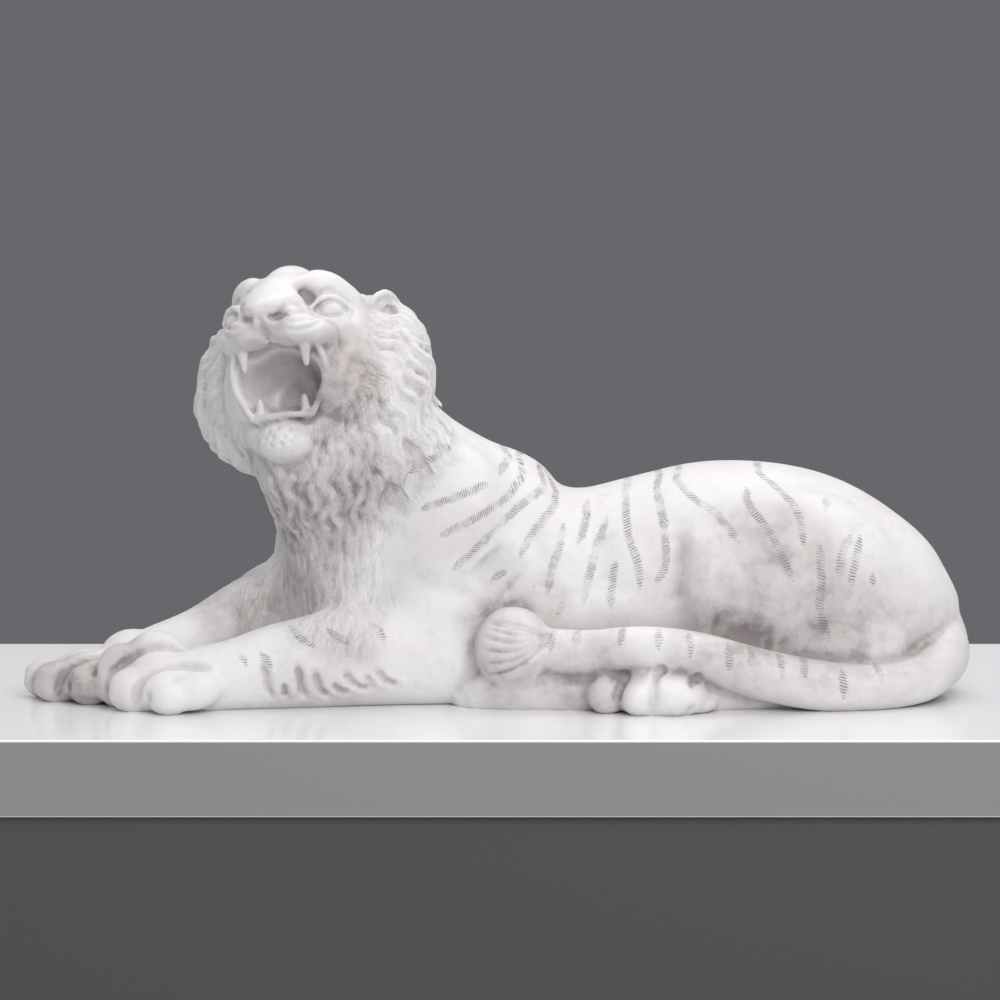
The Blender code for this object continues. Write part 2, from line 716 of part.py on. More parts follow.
def forearm_folds(skin):
    """Short curved folds along the back of each foreleg, near the floor."""
    brush = Brush(skin)
    for x, tall, lean in FOREARM_FOLDS:
        for shift, radius, depth in ((0, 3.2, -0.1 - 0.13 * tall), (4.2, 3.8, 0.8)):
            base = x + shift
            route = [
                (base + lean, -62, 6 + tall),
                (base - 1.5 + lean / 2, -66, 5 + tall * 0.7),
                (base - 1, -66, 5 + tall * 0.3),
                (base + 3, -64, 3.5),
            ]
            brush.stroke(route, radius, depth)
    brush.write()


def chin_pad(skin, frame):
    """The rim of the chin's pad, and the whisker pits in it."""
    brush = Brush(skin, frame)
    for route in both([(21, 4, -61), (17, 13, -61), (8, 16, -64)]):
        brush.stroke(route, 3, -1)
    pits = [(-7, -58), (-1, -57), (6, -58), (-10, -63), (-4, -63), (3, -63), (9, -63)]
    pits += [(-6, -68), (1, -68), (7, -67)]
    for left, up in pits:
        brush.stroke([(24, left, up)], 2, -1)
    brush.write()


def build_masses():
    clay = bmesh.new()
    torso(clay)
    neck(clay)
    shoulders_and_forelegs(clay)
    haunches(clay)
    return fused(clay, MASS_VOXEL, 30)


def build_forms(skin, frame):
    clay = bmesh.new()
    tail(clay)
    paws(clay)
    skull(clay, frame)
    ruff_collar(clay, frame)
    return fused(clay, FORM_VOXEL, 8, skin)


def build_details(skin, frame):
    tree = surface(skin)
    clay = bmesh.new()
    teeth_and_tongue(clay, frame)
    eyes_ears_and_lips(clay, frame)
    ruff_locks(clay, frame, tree)
    chest_locks(clay, tree)
    return fused(clay, FACE_VOXEL, 3, skin)


def thinned(skin, limit):
    """The skin with as many triangles as the limit, fewest where it is flattest."""
    clay = placed(skin)
    fewer = clay.modifiers.new("fewer", "DECIMATE")
    fewer.ratio = limit / (2 * len(skin.polygons))
    fewer.use_collapse_triangulate = True
    return settled(clay)


def outer_shell(clay):
    """Only the largest connected skin stays, so that no closed bubble is left inside."""
    left = set(clay.verts)
    largest = set()
    while left:
        seed = left.pop()
        island = {seed}
        front = [seed]
        while front:
            for edge in front.pop().link_edges:
                for vertex in edge.verts:
                    if vertex not in island:
                        island.add(vertex)
                        front.append(vertex)
        left -= island
        if len(island) > len(largest):
            largest = island
    bmesh.ops.delete(clay, geom=[v for v in clay.verts if v not in largest], context="VERTS")


def on_the_floor(skin):
    """The casting: cut flat where it stands, centred, and brought to its outer sizes, in metres."""
    clay = bmesh.new()
    clay.from_mesh(skin)
    bpy.data.meshes.remove(skin)
    outer_shell(clay)
    everything = list(clay.verts) + list(clay.edges) + list(clay.faces)
    cut = bmesh.ops.bisect_plane(
        clay, geom=everything, dist=0.05, plane_co=(0, 0, 0), plane_no=(0, 0, 1), clear_inner=True
    )
    rim = [e for e in cut["geom_cut"] if isinstance(e, bmesh.types.BMEdge)]
    bmesh.ops.triangle_fill(clay, edges=rim, use_beauty=True, normal=(0, 0, -1))
    bmesh.ops.triangulate(clay, faces=clay.faces)
    bmesh.ops.recalc_face_normals(clay, faces=clay.faces)
    corners = np.array([v.co for v in clay.verts])
    low, high = corners.min(0), corners.max(0)
    middle = Vector(((low[0] + high[0]) / 2, (low[1] + high[1]) / 2, 0))
    sizes = [wanted * MM / made for wanted, made in zip((LENGTH, WIDTH, HEIGHT), high - low)]
    bmesh.ops.translate(clay, verts=clay.verts, vec=-middle)
    bmesh.ops.scale(clay, verts=clay.verts, vec=sizes)
    for face in clay.faces:
        face.smooth = abs(face.normal.z + 1) > 1e-4
    mesh = bpy.data.meshes.new("tiger")
    clay.to_mesh(mesh)
    clay.free()
    mesh.materials.append(stone())
    return bpy.data.objects.new("tiger", mesh)


def stone():
    """Matt off-white cast stone."""
    material = bpy.data.materials.new("white stone")
    material.use_nodes = True
    shader = material.node_tree.nodes["Principled BSDF"]
    shader.inputs["Base Color"].default_value = (0.72, 0.69, 0.68, 1)
    shader.inputs["Roughness"].default_value = 0.55
    shader.inputs["Metallic"].default_value = 0
    return material


def main():
    for old in list(bpy.data.objects):
        bpy.data.objects.remove(old)
    frame = head_frame()
    skin = build_masses()
    skin = build_forms(skin, frame)
    skin = hollowed(skin, mouth_hollow(frame))
    eye_sockets(skin, frame)
    skin = build_details(skin, frame)
    body_forms(skin)
    face_lines(skin, frame)
    chin_pad(skin, frame)
    forearm_folds(skin)
    toe_clefts_and_claws(skin)
    tuft_grooves(skin)
    tiger = on_the_floor(thinned(skin, FACE_LIMIT))
    bpy.context.scene.collection.objects.link(tiger)


main()
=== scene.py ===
"""The looks of a reclining, roaring tiger, cast in one piece of white stone with a thin antique wash.

The casting is sculpted as clay: lumps are fused into one skin, coarse masses first and finer forms
later, locks of hair are combed over it, and grooves and folds are drawn on it with a round brush. Then
the skin is marked with how hollow each place is, how the hair lies, where the wash was rubbed on and
where shade is painted, and where the hatched stripes run, and one material paints all of that, the
painted shade with the wash's colour. The clay is worked in millimetres and ends in metres.
The animal faces -X, and its left flank, the near one, faces -Y.
"""

import json
import math

import bmesh
import bpy
import numpy as np
from bpy.props import FloatProperty, FloatVectorProperty, PointerProperty
from mathutils import Euler, Matrix, Vector
from mathutils.bvhtree import BVHTree
from mathutils.kdtree import KDTree

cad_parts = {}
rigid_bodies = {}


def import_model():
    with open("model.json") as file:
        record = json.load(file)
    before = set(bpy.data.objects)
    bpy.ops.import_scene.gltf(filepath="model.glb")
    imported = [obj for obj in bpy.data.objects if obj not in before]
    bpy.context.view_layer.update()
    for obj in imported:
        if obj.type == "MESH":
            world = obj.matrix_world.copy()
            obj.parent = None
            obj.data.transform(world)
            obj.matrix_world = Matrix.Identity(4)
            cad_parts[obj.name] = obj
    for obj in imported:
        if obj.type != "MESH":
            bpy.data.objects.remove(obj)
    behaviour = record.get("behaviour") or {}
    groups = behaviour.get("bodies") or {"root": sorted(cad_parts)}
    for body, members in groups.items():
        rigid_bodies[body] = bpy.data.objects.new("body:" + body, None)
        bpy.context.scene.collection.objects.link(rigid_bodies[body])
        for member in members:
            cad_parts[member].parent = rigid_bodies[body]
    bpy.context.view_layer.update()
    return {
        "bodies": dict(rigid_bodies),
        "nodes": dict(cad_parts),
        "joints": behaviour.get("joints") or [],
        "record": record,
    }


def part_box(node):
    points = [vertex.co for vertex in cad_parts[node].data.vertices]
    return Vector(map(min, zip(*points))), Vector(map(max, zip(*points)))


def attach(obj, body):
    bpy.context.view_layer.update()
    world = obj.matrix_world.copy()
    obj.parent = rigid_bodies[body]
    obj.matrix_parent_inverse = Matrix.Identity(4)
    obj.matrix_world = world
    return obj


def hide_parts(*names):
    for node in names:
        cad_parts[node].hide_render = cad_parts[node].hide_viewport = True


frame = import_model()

bl_info = {
    "name": "Stone tiger",
    "version": (1, 0, 0),
    "blender": (4, 5, 0),
    "location": "View3D > Sidebar > Tiger",
    "description": "Sculpts a reclining stone tiger with hatched stripes, and its stage",
    "category": "Add Mesh",
}

MM = 0.001
LOWEST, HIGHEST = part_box("tiger")
OUTER_SIZES = HIGHEST - LOWEST

# The stages in which lumps are fused, and the mouth's hollow: fineness in mm, and passes of softening
MASSES = (2.6, 30)
FORMS = (1.7, 8)
DETAILS = (1.0, 3)
MOUTH = (1.5, 4)

# Triangles that the thinned skin keeps, before its edges longer than LONG_EDGE mm are halved at the stripes
THINNED_TRIANGLES = 155200
LONG_EDGE = 2.4

# How far the hair lines spread from a lock, in mm
HAIR_REACH = 8

# How far the trunk reaches below the floor before it is cut flat, and the middle of the head, in mm
BELOW_FLOOR = 8
HEAD_CENTRE = Vector((-99.5, -16, 181))

# The stage, in metres: the shelf's front edge and its ends, the plinth under it, and what the camera aims at
SHELF_FRONT = -0.155
SHELF_END = 2.5
SHELF_ROUNDING = 0.0015
PLINTH_INSET = 0.004
PLINTH_FOOT = -1.2
CAMERA_TARGET = Vector((0.0013, 0, 0.0982))


def in_metres(name, description, default):
    return FloatProperty(name=name, description=description, default=default, unit="LENGTH")


def in_degrees(name, description, degrees):
    return FloatProperty(name=name, description=description, default=math.radians(degrees), subtype="ANGLE")


def tint(name, description, default):
    return FloatVectorProperty(name=name, description=description, size=4, subtype="COLOR", default=default)


class TigerShape(bpy.types.PropertyGroup):
    """Outer sizes of the casting, and the main sizes of its head, hair, paws and tail."""

    length: in_metres("Length", "Paws to rump", OUTER_SIZES.x)
    width: in_metres("Width", "Over both hind feet", OUTER_SIZES.y)
    height: in_metres("Height", "Floor to forehead", OUTER_SIZES.z)
    head_turn: in_degrees("Head turn", "From straight ahead towards the near side", 68)
    head_lift: in_degrees("Head lift", "Of the nose above the level", 26)
    head_tilt: in_degrees("Head tilt", "Of the head to its side", 9)
    jaw_drop: in_metres("Jaw drop", "From the head's centre to the lower jaw", 0.052)
    canine: in_metres("Canine", "Length of the four fangs", 0.015)
    lock: in_metres("Lock", "Length of a lock of the ruff", 0.024)
    toe: in_metres("Toe", "Half width of a toe", 0.0098)
    tail: in_metres("Tail", "Half thickness of the tail", 0.012)
    tuft: in_metres("Tuft", "Height of the tuft that ends the tail", 0.051)


class TigerFinish(bpy.types.PropertyGroup):
    """Colours of the stone, of the wash, which also paints shade, and of the stripes, and the size of the
    stripes' ticks.
    """

    stone: tint("Stone", "Bare stone", (0.80, 0.785, 0.785, 1))
    # The wash colour also paints the shade in hollows and shaded places
    wash_and_shade: tint("Wash", "Antique wash in the hollows", (0.31, 0.275, 0.275, 1))
    blush: tint("Blush", "Faint warm tint over face and flanks", (0.74, 0.675, 0.67, 1))
    tick_colour: tint("Ticks", "Colour rubbed into the ticks", (0.20, 0.19, 0.195, 1))
    tick_gap: in_metres("Tick spacing", "From one tick to the next", 0.0015)
    tick_length: in_metres("Tick length", "Across the stripe", 0.0052)
    roughness: FloatProperty(name="Roughness", description="Of the stone", default=0.58, min=0, max=1)


class TigerStage(bpy.types.PropertyGroup):
    """The shelf, the wall behind it, the lamps and the camera."""

    shelf_colour: tint("Shelf", "Glossy white top", (0.88, 0.88, 0.9, 1))
    # Painted shade: the front edge of the white shelf is coloured dark grey, darker than its top as the light
    # falls from above
    shaded_edge_colour: tint("Shelf edge", "Matt front edge of the shelf", (0.29, 0.29, 0.292, 1))
    plinth_colour: tint("Plinth", "Dark front under the shelf", (0.075, 0.075, 0.077, 1))
    wall_colour: tint("Wall", "Plain grey behind the shelf", (0.138, 0.136, 0.149, 1))
    shelf_depth: in_metres("Shelf depth", "Front edge to wall", 0.321)
    shelf_thickness: in_metres("Shelf thickness", "Of its front edge", 0.038)
    sky: FloatProperty(name="Room light", description="Even light from all round", default=0.45)
    key: FloatProperty(name="Top lamp", description="Large soft lamp overhead", default=9.5, unit="POWER")
    fill: FloatProperty(name="Front lamp", description="Soft lamp by the camera", default=23, unit="POWER")
    elevation: in_degrees("Camera height", "Angle above the shelf", 7)
    distance: in_metres("Camera distance", "From the casting", 3)
    view_width: in_metres("View width", "Width of the picture at the casting", 0.508)


# Clay tools


class Clay:
    """Lumps of clay in one bmesh, placed in the casting's own frame or in another, such as the head's."""

    def __init__(self, frame=Matrix(), lumps=None):
        self.lumps = bmesh.new() if lumps is None else lumps
        self.frame = frame

    def within(self, frame):
        """The same lumps, for adding more of them in another frame."""
        return Clay(frame, self.lumps)

    def ball(self, centre, radii, turn=(0, 0, 0)):
        """An ellipsoid. turn is in degrees."""
        place = Matrix.LocRotScale(Vector(centre), Euler([math.radians(a) for a in turn]), Vector(radii))
        bmesh.ops.create_icosphere(self.lumps, subdivisions=3, radius=1, matrix=self.frame @ place)

    def limb(self, stations, sides=20):
        """A rounded limb through stations of (x, y, z, half width, half height)."""
        path = smooth_path(stations, 5)
        places = [Vector(row[:3]) for row in path]
        ring = set()
        for i, (place, row) in enumerate(zip(places, path)):
            ahead = (places[min(i + 1, len(places) - 1)] - places[max(i - 1, 0)]).normalized()
            side = ahead.cross(Vector((0, 0, 1)))
            if side.length < 0.2:
                side = ahead.cross(Vector((0, 1, 0)))
            side.normalize()
            turn = Matrix((side * row[3], side.cross(ahead) * row[4], ahead)).transposed().to_4x4()
            matrix = self.frame @ (Matrix.Translation(place) @ turn)
            made = bmesh.ops.create_circle(
                self.lumps, segments=sides, radius=1, cap_ends=i == 0, matrix=matrix
            )
            edges = {e for v in made["verts"] for e in v.link_edges}
            if ring:
                bmesh.ops.bridge_loops(self.lumps, edges=list(ring | edges))
            ring = edges
        bmesh.ops.contextual_create(self.lumps, geom=list(ring))
        for row in (path[0], path[-1]):
            half = min(row[3], row[4])
            self.ball(row[:3], (half, half, half))

    def strands(self, routes, steps=4):
        """Round tapering strands, each a row of (x, y, z, radius) stations."""
        curve = bpy.data.curves.new("strands", "CURVE")
        curve.dimensions = "3D"
        curve.bevel_depth = 1
        curve.bevel_resolution = 2
        curve.use_fill_caps = True
        for route in routes:
            path = smooth_path(route, steps)
            spline = curve.splines.new("POLY")
            spline.points.add(len(path) - 1)
            for point, row in zip(spline.points, path):
                point.co = (*(self.frame @ Vector(row[:3])), 1)
                point.radius = max(row[3], 0.2)
        mesh = settled(placed(curve))
        self.lumps.from_mesh(mesh)
        bpy.data.meshes.remove(mesh)


def smooth_path(stations, steps):
    """Catmull-Rom points through the stations, each a row of numbers, with steps points to a span."""
    rows = np.array(stations, float)
    ends = np.vstack([2 * rows[0] - rows[1], rows, 2 * rows[-1] - rows[-2]])
    out = []
    for a, b, c, d in zip(ends, ends[1:], ends[2:], ends[3:]):
        for t in np.arange(steps) / steps:
            bend = (2 * a - 5 * b + 4 * c - d) * t**2 + (3 * b - a - 3 * c + d) * t**3
            out.append(0.5 * (2 * b + (c - a) * t + bend))
    out.append(rows[-1])
    return np.array(out)


def settled(thing):
    """The mesh of an object with its modifiers applied. The object itself goes."""
    graph = bpy.context.evaluated_depsgraph_get()
    mesh = bpy.data.meshes.new_from_object(thing.evaluated_get(graph))
    bpy.data.batch_remove((thing, thing.data))
    return mesh


def placed(data, name="clay"):
    """A mesh, curve, lamp or camera as an object in the scene."""
    thing = bpy.data.objects.new(name, data)
    bpy.context.scene.collection.objects.link(thing)
    return thing


def as_mesh(lumps, name="clay"):
    """A bmesh as a mesh. The bmesh goes."""
    mesh = bpy.data.meshes.new(name)
    lumps.to_mesh(mesh)
    lumps.free()
    return mesh


def as_lumps(mesh):
    lumps = bmesh.new()
    lumps.from_mesh(mesh)
    return lumps


def fused(clay, stage, skin=None):
    """One skin round the lumps, and round an earlier skin, with the creases where they meet softened."""
    voxel, passes = stage
    lumps = clay.lumps
    bmesh.ops.recalc_face_normals(lumps, faces=lumps.faces)
    if skin is not None:
        lumps.from_mesh(skin)
        bpy.data.meshes.remove(skin)
    thing = placed(as_mesh(lumps))
    remesh = thing.modifiers.new("skin", "REMESH")
    remesh.mode = "VOXEL"
    remesh.voxel_size = voxel
    soften = thing.modifiers.new("soften", "SMOOTH")
    soften.factor = 0.5
    soften.iterations = passes
    return settled(thing)


def hollowed(skin, cutter):
    """The skin less the cutter's volume."""
    thing = placed(skin)
    hollow = placed(cutter)
    cut = thing.modifiers.new("hollow", "BOOLEAN")
    cut.operation = "DIFFERENCE"
    cut.solver = "EXACT"
    cut.object = hollow
    result = settled(thing)
    bpy.data.batch_remove((hollow, cutter))
    return result


def surface(skin):
    """A tree for finding places on the skin."""
    lumps = as_lumps(skin)
    tree = BVHTree.FromBMesh(lumps)
    lumps.free()
    return tree


def listed(rows, name, wide=3, kind=float):
    """One property of all points, normals or edges of a mesh, as an array."""
    values = np.empty((len(rows), wide), kind)
    rows.foreach_get(name, values.ravel())
    return values


def sided(side, rows):
    """Rows of (x, y, z, ...) as they are where side is 1, and with y mirrored where it is -1."""
    return [(row[0], side * row[1], *row[2:]) for row in rows]


def distances(points, line):
    """For each point its distance from the line, and how far along the line it is, in mm."""
    best = np.full(len(points), 1e9)
    along = np.zeros(len(points))
    run = 0.0
    starts = line[:-1] if len(line) > 1 else line
    ends = line[1:] if len(line) > 1 else line
    for a, b in zip(starts, ends):
        span = b - a
        t = np.clip((points - a) @ span / max(span @ span, 1e-9), 0, 1)
        gap = np.linalg.norm(points - a - t[:, None] * span, axis=1)
        closer = gap < best
        reach = np.linalg.norm(span)
        best[closer] = gap[closer]
        along[closer] = run + t[closer] * reach
        run += reach
    return best, along, max(run, 1e-9)


class Brush:
    """Moves the points of a skin along their normals, near routes that are laid on it."""

    def __init__(self, skin, frame=Matrix()):
        self.skin = skin
        self.frame = frame
        self.tree = surface(skin)
        self.read()

    def read(self):
        self.points = listed(self.skin.vertices, "co")
        self.normals = listed(self.skin.vertex_normals, "vector")

    def write(self):
        self.skin.vertices.foreach_set("co", self.points.ravel())
        self.skin.update()
        self.read()

    def near(self, line, radius):
        """Numbers of the points in the box round the line."""
        low, high = line.min(0) - radius, line.max(0) + radius
        return np.nonzero(np.all((self.points > low) & (self.points < high), axis=1))[0]

    def stroke(self, route, radius, depth):
        """A ridge of that height, or a groove if depth is negative, fading out at the radius."""
        rows = smooth_path(route, 4) if len(route) > 1 else route
        line = np.array([self.tree.find_nearest(self.frame @ Vector(row))[0] for row in rows])
        chosen = self.near(line, radius)
        if len(chosen) == 0:
            return
        gap, along, length = distances(self.points[chosen], line)
        weight = np.clip(1 - (gap / radius) ** 2, 0, 1) ** 2
        if len(line) > 1:
            weight *= np.clip(np.minimum(along, length - along) / length * 5 + 0.35, 0, 1)
        self.points[chosen] += self.normals[chosen] * (weight * depth)[:, None]

    def strokes(self, rows):
        """Strokes of (radius, depth, route), each made on both sides, and then all pressed in at once."""
        for radius, depth, route in rows:
            for side in (1, -1):
                self.stroke(sided(side, route), radius, depth)
        self.write()


def combed(tree, start, way, length, radius, lift, flick, fall, sway, phase):
    """Stations of a lock that lies on the skin from start, heads one way, falls and waves as it goes.

    lift and flick are how far its root and its tip stand off the skin, as shares of its radius.
    """
    place, normal = tree.find_nearest(Vector(start))[:2]
    heading = Vector(way).normalized()
    down = Vector((0, 0, -1))
    steps = 7
    stations = []
    for i in range(steps + 1):
        t = i / steps
        thick = radius * min(1.0, 0.6 + 2.4 * t, 0.25 + 1.7 * (1 - t))
        stations.append((*(place + normal * radius * (lift + (flick - lift) * t * t)), thick))
        heading = (heading + down * fall / steps).normalized()
        tangent = heading - normal * heading.dot(normal)
        turn = math.radians(sway) * math.cos(2.6 * math.pi * t + phase)
        tangent.rotate(Matrix.Rotation(turn, 3, normal))
        place, normal = tree.find_nearest(place + tangent.normalized() * length / steps)[:2]
    return stations


# The animal


def head_frame(shape):
    """The head's own frame: forward, to the animal's left, and up."""
    level = Vector((-math.cos(shape.head_turn), -math.sin(shape.head_turn), 0))
    forward = level * math.cos(shape.head_lift) + Vector((0, 0, math.sin(shape.head_lift)))
    left = Vector((0, 0, 1)).cross(level)
    up = forward.cross(left)
    upright = Matrix.Translation(HEAD_CENTRE) @ Matrix((forward, left, up)).transposed().to_4x4()
    return upright @ Matrix.Rotation(shape.head_tilt, 4, "X")


def torso(clay):
    """Rump, barrel and chest: stations of (x, y, height of the back, half width)."""
    backs = [
        (222, -6, 50, 22), (208, -4, 70, 38), (189, -2, 92, 47), (155, 0, 112, 51),
        (115, 0, 117, 48), (80, 0, 110, 46), (45, 0, 102.5, 45), (15, 0, 108, 46),
        (-12, 0, 127, 46), (-42, 0, 120, 46), (-70, 2, 100, 40),
    ]
    stations = [(x, y, (top - BELOW_FLOOR) / 2, half, (top + BELOW_FLOOR) / 2) for x, y, top, half in backs]
    clay.limb(stations, sides=32)
    clay.ball((-64, -4, 64), (44, 42, 58))


def neck(clay):
    """The neck, turned towards the near side, and the throat under it."""
    nape = [(-15, 0, 88, 42, 40), (-50, -5, 116, 40, 35), (-78, -12, 148, 39, 38), (-92, -16, 172, 37, 36)]
    clay.limb(nape)
    clay.limb([(-70, -8, 60, 36, 34), (-80, -18, 98, 31, 31), (-92, -28, 128, 30, 30)])


def shoulders_and_forelegs(clay):
    """Near foreleg along the floor, and the far one that reaches further forward."""
    clay.ball((-26, -31, 84), (34, 20, 46), (0, 14, 0))
    clay.ball((-28, -36, 34), (34, 19, 34))
    near = [
        (-14, -37, 22, 18, 24), (-60, -42, 24, 19, 26), (-106, -50, 20, 17.5, 23),
        (-133, -55, 16, 16, 18.5), (-156, -58, 13, 17, 17),
    ]
    clay.limb(near)
    clay.ball((-80, 22, 74), (33, 24, 46))
    far = [
        (-60, 30, 60, 24, 30), (-98, 14, 46, 21, 26), (-128, 1, 36, 18, 21),
        (-150, -9, 26, 16.5, 18.5), (-174, -19, 19, 16.5, 17),
    ]
    clay.limb(far)


def haunches(clay):
    """Thighs, knees and folded lower legs. Those of the far side lie further forward."""
    for side, shift in ((-1, 0), (1, -4)):
        clay.ball((152 + shift, side * 31, 56), (60, 25, 50), (0, 12, 0))
        clay.ball((114 + shift, side * 37, 50), (27, 20, 40), (0, -12, 0))
        clay.ball((172 + shift, side * 36, 26), (40, 22, 26))
        foot = [(160, 46, 10, 16, 14), (120, 52, 9, 15, 13), (92, 62, 8, 15, 12), (76, 67, 7, 16, 11)]
        clay.limb([(x + shift, *rest) for x, *rest in sided(side, foot)])


# Round the rump, over the near hind foot and to the near elbow: (x, y, z, share of the full thickness)
TAIL_ROUTE = [
    (190, 6, 56, 1.8), (212, 0, 44, 1.5), (225, -9, 32, 1.25), (227, -26, 20, 1.1), (215, -44, 13, 1.0),
    (194, -57, 10.5, 0.95), (165, -63, 12, 1.05), (135, -66, 18, 1.05), (105, -68, 27, 1.0),
    (75, -67, 31, 0.95), (48, -62, 28, 0.98), (28, -58, 28, 1.0), (16, -56, 28, 1.0),
]


def tail(clay, shape):
    """The tail, the tuft that ends it, and the stone left standing under it."""
    thick = shape.tail / MM
    clay.limb([(x, y, z, k * thick, k * thick) for x, y, z, k in TAIL_ROUTE])
    top = shape.tuft / MM
    half = top * 0.42
    clay.ball((9.5, -57, top - half), (20, 19, half), (0, -10, 0))
    clay.limb([(-12, -47, 4, 12, 9), (8, -50, 12, 17, 17), (30, -51, 10, 15, 15), (62, -56, 12, 15, 16)])


# Toes of the near and far front paw and the near and far hind one: (tip x, tip y, heading, length, height)
PAWS = (
    ((-173, -77, 190, 30, 19), (-194, -65, 184, 36, 25), (-201, -50, 181, 38, 37), (-190, -37, 176, 32, 27)),
    ((-215, -44, 190, 30, 21), (-234, -34, 186, 36, 24), (-240, -19, 182, 36, 23), (-228, -6, 174, 30, 19)),
    ((50, -78, 232, 28, 21), (68, -86, 244, 29, 20), (87, -87, 254, 27, 19), (101, -78, 262, 24, 13)),
    ((46, 75, 128, 28, 21), (64, 83, 116, 29, 20), (83, 84, 106, 27, 19), (100, 79, 98, 26, 15)),
)


def toe_way(heading):
    return Vector((math.cos(math.radians(heading)), math.sin(math.radians(heading)), 0))


def paws(clay, shape):
    """Toes, each with its knuckle behind, and the sole or the back of the foot behind them."""
    width = shape.toe / MM
    for x, y, heading, length, height in (row for paw in PAWS for row in paw):
        way = toe_way(heading)
        front = Vector((x, y, height * 0.4)) - way * length * 0.34
        knuckle = Vector((x, y, height * 0.56)) - way * length * 0.8
        clay.ball(front, (length * 0.37, width, height * 0.46), (0, 0, heading))
        clay.ball(knuckle, (length * 0.46, width * 0.92, height * 0.48), (0, 16, heading))
    clay.ball((-165, -57, 12), (22, 21, 16))
    clay.ball((-168, -53, 16), (18, 14, 16))
    clay.ball((-200, -26, 11), (26, 22, 14))
    clay.ball((-184, -23, 19), (18, 16, 16))
    for side in (-1, 1):
        clay.ball((82, side * 69, 9), (26, 17, 13), (0, 0, side * 24))


def toe_clefts_and_claws(skin):
    """Clefts between the toes, and a pit at the tip of each with the end of a drawn-in claw in it."""
    brush = Brush(skin)
    tips = []
    for paw in PAWS:
        for one, other in zip(paw, paw[1:]):
            x, y, heading, length, height = (np.array(one) + np.array(other)) / 2
            way = toe_way(heading)
            middle = Vector((x, y, 0)) - way * 3
            route = []
            cleft = ((0, 0.1), (0.05, 0.5), (0.35, 0.85), (0.75, 0.95), (1.1, 0.85))
            for back, rise in cleft if x < 0 else cleft[:4]:
                route.append(tuple(middle - way * length * back + Vector((0, 0, height * rise))))
            brush.stroke(route, 4, -3 if x < 0 else -2)
        for x, y, heading, length, height in [row for row in paw if row[0] < 0]:
            tips.append(tuple(Vector((x, y, height * 0.44)) - toe_way(heading) * 1.5))
    brush.write()
    for radius, depth in ((4, -1.8), (2, 1.1)):
        for tip in tips:
            brush.stroke([tip], radius, depth)
        brush.write()


def tuft_grooves(skin):
    """Grooves that part the tuft's hair, from where it leaves the tail over the top and the near side."""
    brush = Brush(skin)
    for top, low in ((50, 50), (46, 48), (41, 44), (36, 38), (31, 31), (26, 23), (20, 15)):
        route = [(27, -64, 37), (21, -74, (37 + top) / 2), (8, -78, top), (-8, -70, low)]
        brush.stroke(route, 2.2, -1.3)
    brush.write()


# The head


# Lumps of the face, in the head's frame: middle ones, then those on each side: (centre, radii, turn)
MIDDLE_LUMPS = [
    ((28, 0, -10), (16, 22, 8), (0, 0, 0)),
    ((-20, 0, -26), (28, 36, 36), (0, 0, 0)),
    ((10, 0, 18), (19, 15, 14), (0, 12, 0)),
    ((30, 0, 10), (17, 12, 9), (0, 36, 0)),
    ((47, 0, -7.5), (7.5, 11.5, 6.5), (0, 0, 0)),
]
SIDE_LUMPS = [
    ((37, 11, -13), (11.5, 12, 8), (0, 0, -14)),
    ((29, 19.5, -13), (14, 10.5, 8), (0, 0, -30)),
    ((12, 27, -3), (14, 9, 8), (0, 10, -35)),
    ((6, 21, -22), (21, 13, 27), (0, 4, 0)),
    ((-4, 27, -26), (20, 13, 28), (0, 8, -8)),
]


def skull(clay, shape):
    """Cranium and upper jaw, cheeks, brow, muzzle and lower jaw, in the head's frame."""
    jaw = -shape.jaw_drop / MM
    cranium = [
        (-34, 0, -8, 38, 36), (-12, 0, -3, 40, 34), (8, 0, 2, 35, 26), (22, 0, 3, 26, 20),
        (33, 0, -1, 20, 15), (43, 0, -6, 16, 10.5), (47, 0, -8, 13, 8.5),
    ]
    brow = [(23, 15, 15.5, 7, 8), (16, 21, 16, 8.5, 8.5), (4, 27, 13, 8, 8), (-8, 31, 8, 8, 8)]
    mandible = [
        (-16, 27, -30, 12, 13), (-6, 22, jaw + 10, 10, 11),
        (4, 15, jaw - 2, 9, 9), (9, 8, jaw - 6, 8, 8),
    ]
    clay.limb(cranium)
    for centre, radii, turn in MIDDLE_LUMPS:
        clay.ball(centre, radii, turn)
    for side in (-1, 1):
        clay.limb(sided(side, brow))
        for (forward, left, up), radii, (roll, pitch, yaw) in SIDE_LUMPS:
            clay.ball((forward, side * left, up), radii, (roll, pitch, side * yaw))
        clay.limb(sided(side, mandible))
    clay.ball((12, 0, jaw - 9), (10.5, 16, 11))
    clay.ball((-12, 0, jaw - 8), (24, 22, 12))


def mouth_hollow(shape, frame):
    """The space between the jaws, from in front of the lips back into the throat."""
    gape = -(shape.jaw_drop / MM + 15) / 2
    clay = Clay(frame)
    lips = [(60, 0, gape + 4, 29, 13), (30, 0, gape, 24, 14.5)]
    throat = [(14, 0, gape, 20, 14), (0, 0, gape - 1, 14, 10)]
    clay.limb(lips + throat, sides=28)
    return fused(clay, MOUTH)


def tooth(root, tip, thick):
    """A tooth as a strand: a slightly bowed cone with a rounded tip."""
    root, tip = Vector(root), Vector(tip)
    rows = []
    for t, width in ((0, 1.1), (0.35, 1.0), (0.7, 0.76), (0.92, 0.5), (1, 0.2)):
        bow = Vector((1, 0, 0)) * math.sin(math.pi * t) * 0.7
        rows.append((*(root.lerp(tip, t) + bow), thick * width))
    return rows


